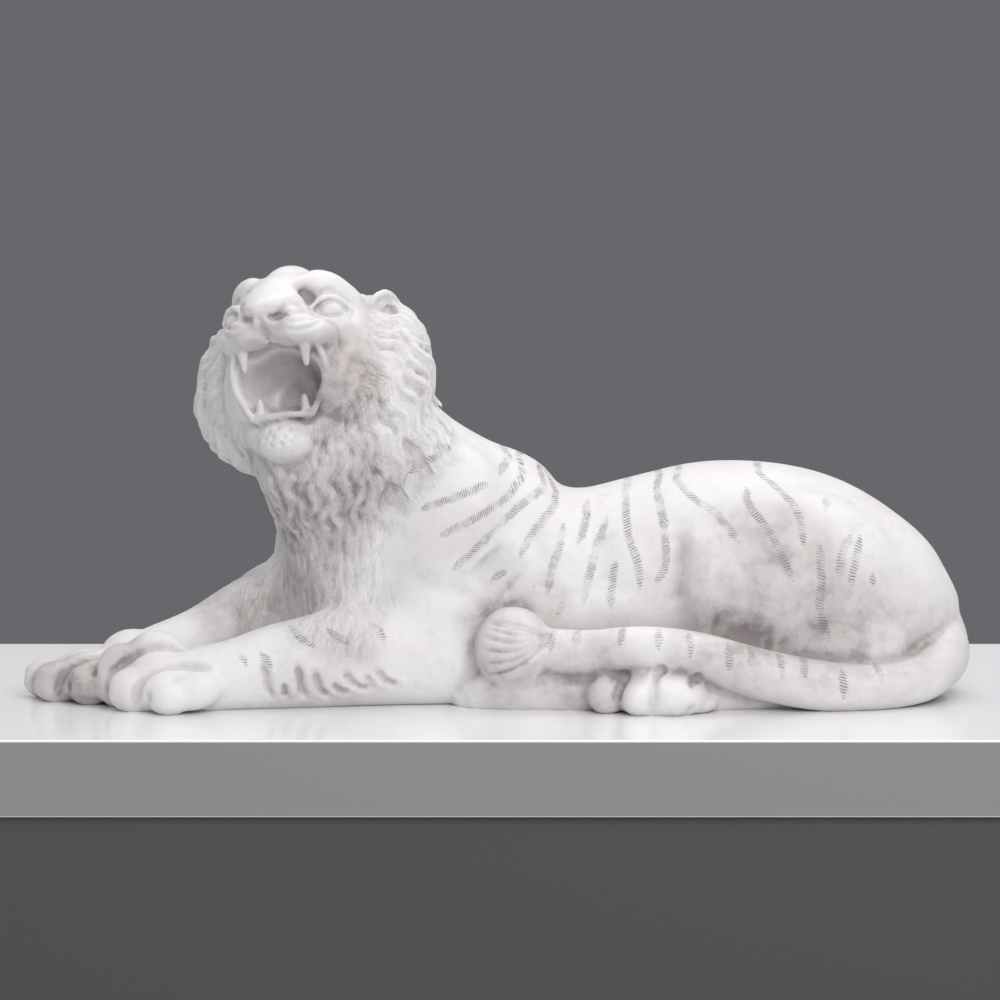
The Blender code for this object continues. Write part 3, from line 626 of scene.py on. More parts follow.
def teeth_and_tongue(clay, shape):
    """Fangs, front teeth and back teeth of both jaws, as (root, tip, thickness), and the tongue."""
    jaw = -shape.jaw_drop / MM
    fang = shape.canine / MM
    left_side = [
        ((34, 17, -14), (28, 16.5, -15 - fang), 3.1),
        ((14, 12, jaw + 1), (19.5, 12, jaw - 3 + fang), 2.9),
    ]
    for reach, left in ((37.5, 2.2), (37, 6.4), (35.5, 10.4)):
        left_side.append(((reach, left, -12), (reach - 1, left, -19.5), 2.6))
    for reach, left in ((15, 1.8), (14.5, 5), (13.5, 8)):
        left_side.append(((reach, left, jaw - 2), (reach + 1.5, left, jaw + 5), 1.7))
    for reach, left, length in ((19, 19, 5), (10, 20, 6)):
        left_side.append(((reach, left, -14), (reach, left - 1, -19 - length), 2.8))
    rows = []
    for side in (-1, 1):
        rows.extend(tooth(*sided(side, (root, tip)), thick) for root, tip, thick in left_side)
    clay.strands(rows)
    clay.limb([(-16, 0, jaw + 10, 13, 7), (-2, 0, jaw + 9, 12.5, 6), (8, 0, jaw + 5, 10, 4)])


def eye_sockets(skin, frame):
    """Hollows for the eyes, pressed in before the eyeballs and their lids are laid on."""
    inner_corner = (7, -4, [(34, 13, 8), (31, 16.5, 5), (29, 19, 2)])
    socket = (9, -4, [(28, 20, 1), (24, 25, 2.5), (18, 31, 3)])
    Brush(skin, frame).strokes([inner_corner, socket])


def jaw_line(shape, reach):
    """Height of the lower lip at a distance forward of the head's centre."""
    return -shape.jaw_drop / MM + 1 + (reach - 17) * 0.2


def eyes_ears_and_lips(clay, shape):
    """Eyeballs and ears, with the rims of lids, ears and lips as strands of (route, thickness)."""
    corner = (17, 15.5, jaw_line(shape, 17))
    rims = [
        ([(30, 17.5, -1.5), (28, 21, 4), (25, 25.5, 7), (21, 30, 6.5), (14.5, 34.5, 2.5)], 1.9),
        ([(30, 17.5, -1.5), (26, 22, -3.6), (22.5, 26.5, -4), (19, 30.5, -2), (14.5, 34.5, 2.5)], 1.4),
        ([(-5, 35, 8), (-4, 39, 16), (-10, 43, 21), (-19, 45, 20), (-25, 46, 13), (-24, 45, 5)], 1.9),
        ([(37, 13, -18.5), (31, 20.5, -18), (26.5, 24.5, -25), (21.5, 24, -36), corner], 1.8),
    ]
    strands = []
    for side in (-1, 1):
        clay.ball((17.8, side * 24.8, 3.4), (7.6, 7.6, 7.6))
        clay.ball((-15, side * 39, 12), (9, 4.5, 9), (side * -30, -10, 0))
        for rim, thick in rims:
            strands.append([(*place, thick) for place in sided(side, rim)])
    lip = jaw_line(shape, 18)
    front = [(17, -15.5), (20, -8), (21, 0), (20, 8), (17, 15.5)]
    strands.append([(reach, left, lip, 1.8) for reach, left in front])
    clay.strands(strands)


def ruff_collar(clay):
    """A thick ring of hair round the cheeks, set back from the face."""
    edge = [(34, 14), (46, 4), (51, -9), (52, -25), (46, -38), (34, -48), (17, -55), (0, -58)]
    for reach, share in ((-23, 1.0), (-14, 0.84)):
        for side in (-1, 1):
            clay.limb([(reach, side * share * left, share * (up + 14) - 14, 11, 9) for left, up in edge])


# Rows of ruff locks: distance forward of the head's centre, half width, half height
RUFF_ROWS = [(0, 38, 42), (-5, 43, 46), (-9, 49, 50), (-14, 54, 53), (-20, 60, 54), (-30, 60, 54)]
LOCKS_IN_ROW = 24

# Each row starts so many degrees from the crown on either side, and goes on so many degrees round the face
ROW_START = 40
ROW_SPAN = 142


def ruff_locks(clay, shape, frame, tree):
    """Wavy locks in rows, from the edge of the cheeks outwards, that sweep back and fall as they go."""
    turned = frame.to_3x3()
    rows = []
    for row, (reach, wide, tall) in enumerate(RUFF_ROWS):
        for side in (-1, 1):
            for i in range(LOCKS_IN_ROW):
                wobble = math.sin(i * 2.3 + row * 1.7 + side)
                place = (i + 0.5 * (row % 2) + 0.25 * wobble) / LOCKS_IN_ROW
                angle = math.radians(ROW_START + place * ROW_SPAN)
                out = Vector((0, side * math.sin(angle), math.cos(angle)))
                round_face = Vector((0, side * math.cos(angle), -math.sin(angle)))
                start = frame @ Vector((reach, wide * out.y, tall * out.z - 14))
                way = turned @ (out * 0.8 + Vector((-0.75, 0, 0)) + round_face * (0.45 + 0.2 * wobble))
                length = shape.lock / MM * (1 + 0.2 * wobble)
                radius = 2.3 + 0.6 * math.sin(i * 1.9 + row)
                flick = 0.45 + 0.14 * row * (1 + wobble) if i < LOCKS_IN_ROW * 0.6 else 0.4 - 0.2 * side
                lift = min(-0.6 + 0.5 * row, 0.4)
                phase = i * 0.5 + row * 2
                rows.append(combed(tree, start, way, length, radius, lift, flick, 0.7, 32, phase))
    clay.strands(rows, steps=3)
    return rows


# Chest locks: the heights of their rows in mm, and in degrees from straight ahead the first lock and the step
CHEST_ROWS = (134, 120, 106, 92, 78, 65, 53)
CHEST_START = -72
CHEST_STEP = 5.8
CHEST_LOCKS_IN_ROW = 30


def chest_locks(clay, tree):
    """Wavy locks that hang down the throat and the chest, fainter the lower they are."""
    rows = []
    middle = Vector((-66, -6, 0))
    for row, height in enumerate(CHEST_ROWS):
        for k in range(CHEST_LOCKS_IN_ROW):
            heading = math.radians(CHEST_START + (k + 0.5 * (row % 2)) * CHEST_STEP)
            way = Vector((-math.cos(heading), -math.sin(heading), 0))
            wobble = math.sin(k * 2.1 + row * 1.3)
            hit = tree.ray_cast(middle + Vector((0, 0, height + 5 * wobble)), way)[0]
            if hit is not None and (hit.xy - middle.xy).length < 60:
                turn = math.sin(k * 0.5 + row * 2.2) * 0.16
                fall = Vector((way.y * turn, -way.x * turn, -1))
                radius = 2.5 - 0.16 * row + 0.4 * wobble
                lift = -0.22 - 0.06 * row
                phase = k * 0.6 + row * 2 + wobble
                rows.append(combed(tree, hit, fall, 30 + 7 * wobble, radius, lift, lift, 0, 13, phase))
    clay.strands(rows, steps=3)
    return rows


# Strokes in the head's frame, as (radius, depth, route on the left side), pressed in group by group: cheeks,
# brow and nose, then nostrils, then folds and the ear's hollow, then lids and pupil, then the pupil's dot
FACE_STROKES = [
    [
        (6, 1.2, [(21, 29, -10), (15, 33, -8), (8, 36, -4)]),
        (12, -0.8, [(24, 29, -20), (17, 31, -24), (12, 32, -32)]),
        (5.5, -2.2, [(33, 14, 9), (31, 16, 7), (30, 17.5, 4)]),
        (2.6, -0.9, [(27, 22, 10), (23, 27, 12), (18, 31.5, 10)]),
        (4, -1.8, [(50, 11, -4), (44, 15, -2), (38, 17, -1)]),
    ],
    [
        (3.2, -3.5, [(52, 4, -11), (50.5, 7.5, -12), (48.5, 10.5, -9), (46.5, 12.5, -6)]),
        (3, 0.8, [(53, 3, -6), (50, 9, -5), (47, 12, -4)]),
    ],
    [
        (2.1, -1, [(47, 11, -10), (45, 15, -8), (40, 18, -5), (37, 18.5, -4)]),
        (2.1, -1, [(46.5, 12, -13), (44.5, 17, -13), (39, 21.5, -9.5), (33, 24, -6)]),
        (2.1, -1, [(46, 11.5, -16), (43.5, 17, -16.5), (39, 22, -14), (34, 25.5, -10.5)]),
        (2.1, -0.6, [(43, 14, 1), (38, 16.5, 2), (34, 19, 2)]),
        (2.1, -0.6, [(42, 15.5, -1.5), (37, 18.5, -0.5), (32, 21.5, -1)]),
        (2.1, -0.6, [(41, 17.5, -3.5), (36, 20.5, -3), (31, 23.5, -3.5)]),
        (6, -3.5, [(-11, 43, 14), (-18, 46, 11)]),
    ],
    [
        (1.9, -1.6, [(29, 19, -0.5), (26.5, 22, 3), (24, 25.5, 5), (19.5, 30, 4.4), (15, 33, 2)]),
        (1.7, -1.2, [(28, 20, -1.5), (25, 23.5, -1.8), (21.5, 27.5, -2), (18, 31, -0.4)]),
        (3.2, -0.9, [(24.5, 27.2, 1.2)]),
    ],
    [(1.7, 1.3, [(24.5, 27.2, 1.2)])],
]


def face_lines(skin, frame):
    """Furrow from the nose to the lip, and the strokes of the face."""
    brush = Brush(skin, frame)
    brush.stroke([(53, 0, -11), (49, 0, -15), (44, 0, -18)], 4, -2)
    for group in FACE_STROKES:
        brush.strokes(group)


def body_forms(skin):
    """Broad soft hollows and swellings of the muscles under the skin."""
    forms = [
        (15, -3.5, [(10, 48, 58), (2, 47, 66), (-6, 46, 74)]),
        (17, 2.2, [(-34, 44, 62), (-22, 44, 84), (-8, 42, 104)]),
        (13, -3, [(-52, 36, 92), (-44, 34, 108), (-36, 32, 120)]),
        (9, -1.8, [(92, 46, 50), (93, 46, 70), (92, 42, 90)]),
        (11, 1.6, [(102, 50, 46), (103, 50, 66), (103, 44, 88)]),
        (15, -4, [(106, 52, 40), (122, 54, 36), (140, 54, 30)]),
        (12, 1.6, [(30, 46, 40), (52, 46, 48), (74, 46, 46)]),
        (10, -1.4, [(22, 46, 92), (26, 46, 74), (24, 46, 56)]),
        (10, -1.2, [(52, 44, 92), (56, 46, 76), (56, 46, 60)]),
    ]
    Brush(skin).strokes(forms)


# Folds of hair on the near foreleg: distance along the body, how tall and how far the foot hooks
FOREARM_FOLDS = [
    (-115, 15, 3), (-106, 7, 1), (-98, 17, 4), (-89, 15, 6),
    (-80, 6, 8), (-73, 12, 11), (-63, 7, 4), (-57, 10, 9),
]


def forearm_folds(skin):
    """Short curved folds along the near foreleg, near the floor."""
    brush = Brush(skin)
    for x, tall, hook in FOREARM_FOLDS:
        low = 4 + 0.15 * abs(x + 90)
        for shift, radius, depth in ((0, 3.4, -1.5 - 0.05 * tall), (4.6, 4.2, 1.0)):
            base = x + shift
            route = [
                (base - 2, -62, low + tall),
                (base, -66, low + tall * 0.7),
                (base + hook * 0.3, -66, low + tall * 0.3),
                (base + hook, -64, low),
            ]
            brush.stroke(route, radius, depth)
    brush.write()


def chin_pad(skin, frame):
    """The rim of the chin's pad, and the whisker pits in it."""
    brush = Brush(skin, frame)
    for side in (1, -1):
        brush.stroke(sided(side, [(21, 4, -61), (17, 13, -61), (8, 16, -64)]), 3, -1)
    upper_pits = [(-7, -58), (-1, -57), (6, -58), (-10, -63), (-4, -63), (3, -63), (9, -63)]
    for left, up in upper_pits + [(-6, -68), (1, -68), (7, -67)]:
        brush.stroke([(24, left, up)], 2, -1)
    brush.write()


# Stripes, drawn as seen from the near side: (distance along the body, height where the sight line
# crosses the middle of the body). The flag says that the stripe goes on over the back to the far side.
SIGHT_DROP = 7
FLANK_STRIPES = [
    (False, [(-44, 109), (-27, 120)]),
    (False, [(-39, 91), (-22, 97), (-2, 105)]),
    (True, [(-29, 78), (-12, 86), (5, 97), (14, 109)]),
    (True, [(-22, 61), (-8, 74), (10, 91), (25, 103)]),
    (True, [(2, 109), (7, 118)]),
    (True, [(12, 67), (19, 80), (29, 92), (31, 101)]),
    (False, [(26, 48), (29, 63), (33, 75), (35, 85)]),
    (False, [(41, 74), (45, 82), (47, 97)]),
    (False, [(44, 44), (48, 60), (52, 75), (57, 88)]),
    (False, [(58, 41), (59, 54), (61, 67)]),
    (True, [(73, 52), (72, 65), (67, 80), (66, 100)]),
    (True, [(80, 54), (86, 65), (85, 86), (82, 101)]),
    (True, [(92, 106), (101, 97), (112, 89), (123, 75)]),
    (False, [(127, 103), (128, 94), (137, 82), (144, 69), (150, 56)]),
    (True, [(134, 110), (144, 101), (150, 94), (154, 84), (155, 73)]),
    (False, [(163, 75), (164, 56), (163, 44), (168, 26)]),
    (False, [(179, 80), (174, 67), (173, 56)]),
    (False, [(184, 79), (179, 56), (179, 48)]),
    (False, [(167, 98), (167, 90)]),
    (False, [(190, 61), (190, 52)]),
    (False, [(35, 47), (31, 38)]),
    (False, [(-3, 56), (7, 62)]),
    (False, [(-128, 22), (-124, 14)]),
    (False, [(-118, 22), (-111, 13)]),
    (False, [(-104, 35), (-97, 28), (-89, 23)]),
    (False, [(-85, 33), (-78, 28), (-72, 25)]),
    (False, [(-64, 37), (-57, 30), (-55, 25)]),
]

# Where rings are painted on the tail, as distances along the body, on the stretch past its root
TAIL_RINGS = (31, 43, 64, 84, 98, 116, 126, 141, 155, 172, 190)


def stripe_lines(tree):
    """All stripes as lines on the skin, of the near flank, of the far flank, and rings on the tail."""
    drop = math.tan(math.radians(SIGHT_DROP))
    lines = []
    for over_back, route in FLANK_STRIPES:
        sides = []
        for side in (-1, 1):
            line = []
            for x, height, *_ in smooth_path([(*row, 0) for row in route], 4):
                start = Vector((x, side * 200, height + 200 * drop))
                hit = tree.ray_cast(start, Vector((0, -side, -drop)))[0]
                if hit is not None and abs(hit.y) > 8:
                    line.append(np.array(hit))
            if len(line) > 1:
                sides.append(np.array(line))
        if over_back and len(sides) == 2:
            sides = [side if side[0][2] > side[-1][2] else side[::-1] for side in sides]
            near, far = sides
            crest = []
            for t in (0.25, 0.5, 0.75):
                place = near[0] * (1 - t) + far[0] * t
                crest.append(np.array(tree.find_nearest(Vector((*place[:2], place[2] + 12)))[0]))
            sides = [np.vstack([near[::-1], crest, far])]
        lines.extend(sides)
    path = smooth_path(TAIL_ROUTE, 8)
    past_root = 40
    for where in TAIL_RINGS:
        i = int(np.argmin(np.abs(path[past_root:, 0] - where))) + past_root
        middle = Vector(path[i][:3])
        ahead = Vector(path[i + 1][:3]) - Vector(path[i - 1][:3])
        over = Vector((0, 0, 1))
        out = over.cross(ahead).normalized()
        ring = []
        first = int(20 * math.sin(where * 0.9))
        for turn in range(first - 5, first + 76, 16):
            way = out * math.cos(math.radians(turn)) + over * math.sin(math.radians(turn))
            ring.append(np.array(tree.find_nearest(middle + way * 14)[0]))
        lines.append(np.array(ring))
    return lines


def fur_way(points):
    """Way that the hair lies: rising to the rear over the ribs, and falling to the rear over the thighs."""
    lean = np.interp(points[:, 0], (-100, -40, 50, 95, 230), (0.1, 0.45, 0.6, -0.2, -0.35))
    way = np.stack([np.ones(len(points)), np.zeros(len(points)), lean], axis=1)
    return way / np.linalg.norm(way, axis=1)[:, None]


def mark_stripes(brush):
    """For each point, how far it is from the nearest stripe, and which tick it would be on."""
    gap = np.full(len(brush.points), 99.0)
    count = np.zeros(len(brush.points))
    for number, line in enumerate(stripe_lines(brush.tree)):
        chosen = brush.near(line, 9)
        points, normals = brush.points[chosen], brush.normals[chosen]
        near, run, length = distances(points, line)
        toward = line[min(len(line) - 1, 2)] - line[0]
        toward /= max(np.linalg.norm(toward), 1e-9)
        near = near + np.clip(5 - np.minimum(run, length - run), 0, 5) * 0.35
        across = np.cross(normals, toward)
        station = np.searchsorted(np.linspace(0, length, len(line)), run)
        middle = line[np.clip(station, 0, len(line) - 1)]
        offset = ((points - middle) * across).sum(1)
        way = fur_way(points)
        straight = (way * across).sum(1)
        straight = np.where(np.abs(straight) < 0.3, 0.3 * np.sign(straight + 1e-9), straight)
        slant = np.clip(-(way @ toward) / straight, -0.9, 0.9)
        closer = near < gap[chosen]
        gap[chosen[closer]] = near[closer]
        count[chosen[closer]] = (run + slant * offset)[closer] + number * 7.3
    return gap, count


# Where the wash was rubbed on more and where shade is painted with it, such as the cheek, under the tail and
# a toe of the far front paw: balls of (x, y, z, radius, strength)
RUBBED_WASH_AND_SHADE = [
    (-79, -52, 166, 28, 1.1), (-90, -50, 150, 24, 1.0), (-112, -56, 170, 36, 0.25), (-95, -43, 203, 10, 0.9),
    (-108, -65, 195, 10, 0.6), (-84, -30, 130, 34, 0.6), (-100, -34, 118, 34, 0.45), (-70, -50, 156, 20, 1.0),
    (-86, -34, 98, 34, 0.85), (-90, -28, 70, 30, 0.7), (-66, -46, 112, 22, 0.6), (-130, -8, 40, 30, 0.8),
    (-208, -44, 8, 19, 1.2), (-190, -50, 30, 16, 0.8), (-222, -34, 14, 26, 0.6), (-200, -66, 12, 26, 0.3),
    (134, -56, 66, 48, 0.75), (152, -58, 38, 42, 0.7), (112, -62, 30, 34, 0.9), (92, -62, 20, 22, 1.0),
    (52, -64, 16, 30, 0.9), (10, -72, 22, 34, 0.4), (-2, -50, 44, 22, 0.6), (2, -56, 20, 22, 0.5),
    (-85, -60, 8, 40, 0.4), (186, -48, 34, 44, 0.7), (222, -20, 22, 40, 0.45), (20, -46, 46, 22, 0.5),
]


def mark_hollows(skin):
    """For each point, how far it lies below the skin round it, at a fine and a coarse scale, from 0 to 1."""
    count = len(skin.vertices)
    points = listed(skin.vertices, "co")
    normals = listed(skin.vertex_normals, "vector")
    pairs = listed(skin.edges, "vertices", 2, int)
    ends = np.concatenate([pairs[:, 0], pairs[:, 1]])
    others = np.concatenate([pairs[:, 1], pairs[:, 0]])
    share = np.maximum(np.bincount(ends, minlength=count), 1)
    soft = points.copy()
    hollow = np.zeros(count)
    for passes, depth in ((8, 0.45), (70, 2.6)):
        for _ in range(passes):
            for axis in range(3):
                soft[:, axis] = np.bincount(ends, weights=soft[others, axis], minlength=count) / share
        hollow += np.clip(((soft - points) * normals).sum(1) / depth, -0.5, 1.2)
    return np.clip(hollow, 0, 1)


def mark_rubbed(points):
    """For each point, how much wash was rubbed on and how much shade is painted there, from 0 to 1."""
    rubbed = np.zeros(len(points))
    for x, y, z, radius, strength in RUBBED_WASH_AND_SHADE:
        far = np.linalg.norm(points - (x, y, z), axis=1) / radius
        rubbed = 1 - (1 - rubbed) * (1 - strength * np.clip(1 - far**2, 0, 1))
    return np.clip(rubbed, 0, 1)


def mark_hair(skin, locks):
    """For each point, how furry it is, and its place across and along the nearest lock, in mm."""
    stations, ways, runs = [], [], []
    for lock in locks:
        path = smooth_path(lock, 2)[:, :3]
        ahead = np.gradient(path, axis=0)
        step = np.linalg.norm(ahead, axis=1)
        stations.extend(path)
        ways.extend(ahead / step[:, None])
        runs.extend(np.cumsum(step))
    tree = KDTree(len(stations))
    for number, place in enumerate(stations):
        tree.insert(place, number)
    tree.balance()
    count = len(skin.vertices)
    furry, across, along = np.zeros(count), np.zeros(count), np.zeros(count)
    for vertex in skin.vertices:
        place, number, far = tree.find(vertex.co)
        if far < HAIR_REACH:
            way = Vector(ways[number])
            offset = vertex.co - place
            furry[vertex.index] = min(1.0, 2 - 2 * far / HAIR_REACH)
            across[vertex.index] = offset.dot(way.cross(vertex.normal))
            along[vertex.index] = runs[number] + offset.dot(way)
    return {"furry": furry, "hair_across": across, "hair_along": along}


def denser(skin, gap):
    """Halves the longer edges near the stripes, so that the ticks keep their shape there."""
    lumps = as_lumps(skin)
    lumps.verts.ensure_lookup_table()
    long_edges = []
    for edge in lumps.edges:
        length = edge.calc_length()
        if length > LONG_EDGE and min(gap[v.index] for v in edge.verts) < 4 + length:
            long_edges.append(edge)
    bmesh.ops.subdivide_edges(lumps, edges=long_edges, cuts=1, use_grid_fill=True)
    bmesh.ops.triangulate(lumps, faces=[f for f in lumps.faces if len(f.verts) > 3])
    lumps.to_mesh(skin)
    lumps.free()
    skin.update()


def thinned(skin, limit):
    """The skin with as many triangles as the limit, fewest where it is flattest."""
    thing = placed(skin)
    fewer = thing.modifiers.new("fewer", "DECIMATE")
    fewer.ratio = min(1.0, limit / (2 * len(skin.polygons)))
    fewer.use_collapse_triangulate = True
    return settled(thing)


def marked(fine, locks):
    """The skin, thinned, with its marks as attributes that the material reads."""
    tree = KDTree(len(fine.vertices))
    for vertex in fine.vertices:
        tree.insert(vertex.co, vertex.index)
    tree.balance()
    hollow = mark_hollows(fine)
    skin = thinned(fine, THINNED_TRIANGLES)
    for _ in range(2):
        denser(skin, mark_stripes(Brush(skin))[0])
    brush = Brush(skin)
    gap, count = mark_stripes(brush)
    nearest = np.array([tree.find(point)[1] for point in brush.points])
    marks = mark_hair(skin, locks)
    marks.update(stripe_gap=gap, stripe_along=count, hollow=hollow[nearest], rubbed=mark_rubbed(brush.points))
    for name, values in marks.items():
        layer = skin.attributes.new(name, "FLOAT", "POINT")
        layer.data.foreach_set("value", values.astype(np.float32))
    return skin


def outer_shell(lumps):
    """Only the largest connected skin stays, so that no closed bubble is left inside."""
    left = set(lumps.verts)
    largest = set()
    while left:
        seed = left.pop()
        island = {seed}
        front = [seed]
        while front:
            for edge in front.pop().link_edges:
                for vertex in edge.verts:
                    if vertex not in island:
                        island.add(vertex)
                        front.append(vertex)
        left -= island
        if len(island) > len(largest):
            largest = island
    bmesh.ops.delete(lumps, geom=[v for v in lumps.verts if v not in largest], context="VERTS")


def on_the_floor(skin, shape):
    """The casting: cut flat where it stands, centred, and brought to its outer sizes, in metres."""
    lumps = as_lumps(skin)
    bpy.data.meshes.remove(skin)
    outer_shell(lumps)
    everything = list(lumps.verts) + list(lumps.edges) + list(lumps.faces)
    floor = {"plane_co": (0, 0, 0), "plane_no": (0, 0, 1)}
    bmesh.ops.bisect_plane(lumps, geom=everything, dist=0.001, clear_inner=True, **floor)
    bmesh.ops.holes_fill(lumps, edges=[e for e in lumps.edges if e.is_boundary], sides=0)
    bmesh.ops.triangulate(lumps, faces=lumps.faces)
    bmesh.ops.recalc_face_normals(lumps, faces=lumps.faces)
    corners = np.array([v.co for v in lumps.verts])
    low, high = corners.min(0), corners.max(0)
    middle = Vector(((low[0] + high[0]) / 2, (low[1] + high[1]) / 2, 0))
    sizes = [wanted / made for wanted, made in zip((shape.length, shape.width, shape.height), high - low)]
    bmesh.ops.translate(lumps, verts=lumps.verts, vec=-middle)
    bmesh.ops.scale(lumps, verts=lumps.verts, vec=sizes)
    for face in lumps.faces:
        face.smooth = abs(face.normal.z + 1) > 1e-4
    return placed(as_mesh(lumps, "tiger_casting"), "tiger_casting")


def sculpted(shape):
    """The whole casting, from the coarse masses to the last fold."""
    frame = head_frame(shape)
    clay = Clay()
    torso(clay)
    neck(clay)
    shoulders_and_forelegs(clay)
    haunches(clay)
    skin = fused(clay, MASSES)
    clay = Clay()
    tail(clay, shape)
    paws(clay, shape)
    skull(clay.within(frame), shape)
    ruff_collar(clay.within(frame))
    skin = fused(clay, FORMS, skin)
    skin = hollowed(skin, mouth_hollow(shape, frame))
    eye_sockets(skin, frame)
    tree = surface(skin)
    clay = Clay()
    teeth_and_tongue(clay.within(frame), shape)
    eyes_ears_and_lips(clay.within(frame), shape)
    locks = ruff_locks(clay, shape, frame, tree) + chest_locks(clay, tree)
    skin = fused(clay, DETAILS, skin)
    body_forms(skin)
    face_lines(skin, frame)
    chin_pad(skin, frame)
    forearm_folds(skin)
    toe_clefts_and_claws(skin)
    tuft_grooves(skin)
    return on_the_floor(marked(skin, locks), shape)


# Materials


class Nodes:
    """Short calls that add nodes to a tree. Any input may be another node's output, or a plain value."""

    def __init__(self, tree):
        self.tree = tree

    def wire(self, source, target):
        if isinstance(source, bpy.types.NodeSocket):
            self.tree.links.new(source, target)
        else:
            target.default_value = source

    def add(self, kind, inputs=(), **settings):
        """A node with these settings, and its first inputs in their order."""
        node = self.tree.nodes.new(kind)
        for name, value in settings.items():
            setattr(node, name, value)
        for source, socket in zip(inputs, node.inputs):
            self.wire(source, socket)
        return node

    def reckon(self, operation, *values, clamp=False):
        """The output of a Math node."""
        return self.add("ShaderNodeMath", values, operation=operation, use_clamp=clamp).outputs[0]

    def times(self, one, other, clamp=False):
        return self.reckon("MULTIPLY", one, other, clamp=clamp)

    def times_plus(self, one, other, more):
        """one times other, plus more."""
        return self.reckon("MULTIPLY_ADD", one, other, more)

    def ramp(self, value, low, high, start=0.0, end=1.0):
        """A value eased from start to end as it goes from low to high."""
        inputs = (value, low, high, start, end)
        return self.add("ShaderNodeMapRange", inputs, interpolation_type="SMOOTHSTEP").outputs[0]

    def noise(self, where, scale, detail, roughness):
        node = self.add("ShaderNodeTexNoise")
        names = ("Vector", "Scale", "Detail", "Roughness")
        for name, source in zip(names, (where, scale, detail, roughness)):
            self.wire(source, node.inputs[name])
        return node.outputs["Fac"]

    def blend(self, amount, one, other):
        """Two colours mixed by a mask."""
        node = self.add("ShaderNodeMix", (amount,), data_type="RGBA")
        self.wire(one, node.inputs[6])
        self.wire(other, node.inputs[7])
        return node.outputs[2]

    def mark(self, name):
        """A mark of the skin, from its attribute."""
        return self.add("ShaderNodeAttribute", attribute_name=name).outputs["Fac"]

    def grain(self, where, scale):
        """Height and mask of the fine grain at a scale."""
        return self.add("ShaderNodeGroup", (where, scale), node_tree=fine_grain()).outputs[:2]


def fine_grain():
    """Shader group, made once: the fine pitting of a cast or polished face, as a height and as a mask."""
    made = bpy.data.node_groups.get("fine grain")
    if made is not None:
        return made
    tree = bpy.data.node_groups.new("fine grain", "ShaderNodeTree")
    for name, kind in (("Vector", "NodeSocketVector"), ("Scale", "NodeSocketFloat")):
        tree.interface.new_socket(name, in_out="INPUT", socket_type=kind)
    for name in ("Height", "Mask"):
        tree.interface.new_socket(name, in_out="OUTPUT", socket_type="NodeSocketFloat")
    nodes = Nodes(tree)
    where, scale = nodes.add("NodeGroupInput").outputs[:2]
    broad = nodes.noise(where, nodes.times(scale, 0.12), 3, 0.6)
    fine = nodes.noise(where, scale, 4, 0.65)
    height = nodes.reckon("ADD", fine, nodes.times(broad, 0.6))
    nodes.add("NodeGroupOutput", (height, nodes.ramp(broad, 0.35, 0.7)))
    return tree


def new_material(name):
    """A material, its nodes, and the inputs of its shader."""
    material = bpy.data.materials.new(name)
    material.use_nodes = True
    tree = material.node_tree
    return material, Nodes(tree), tree.nodes["Principled BSDF"].inputs


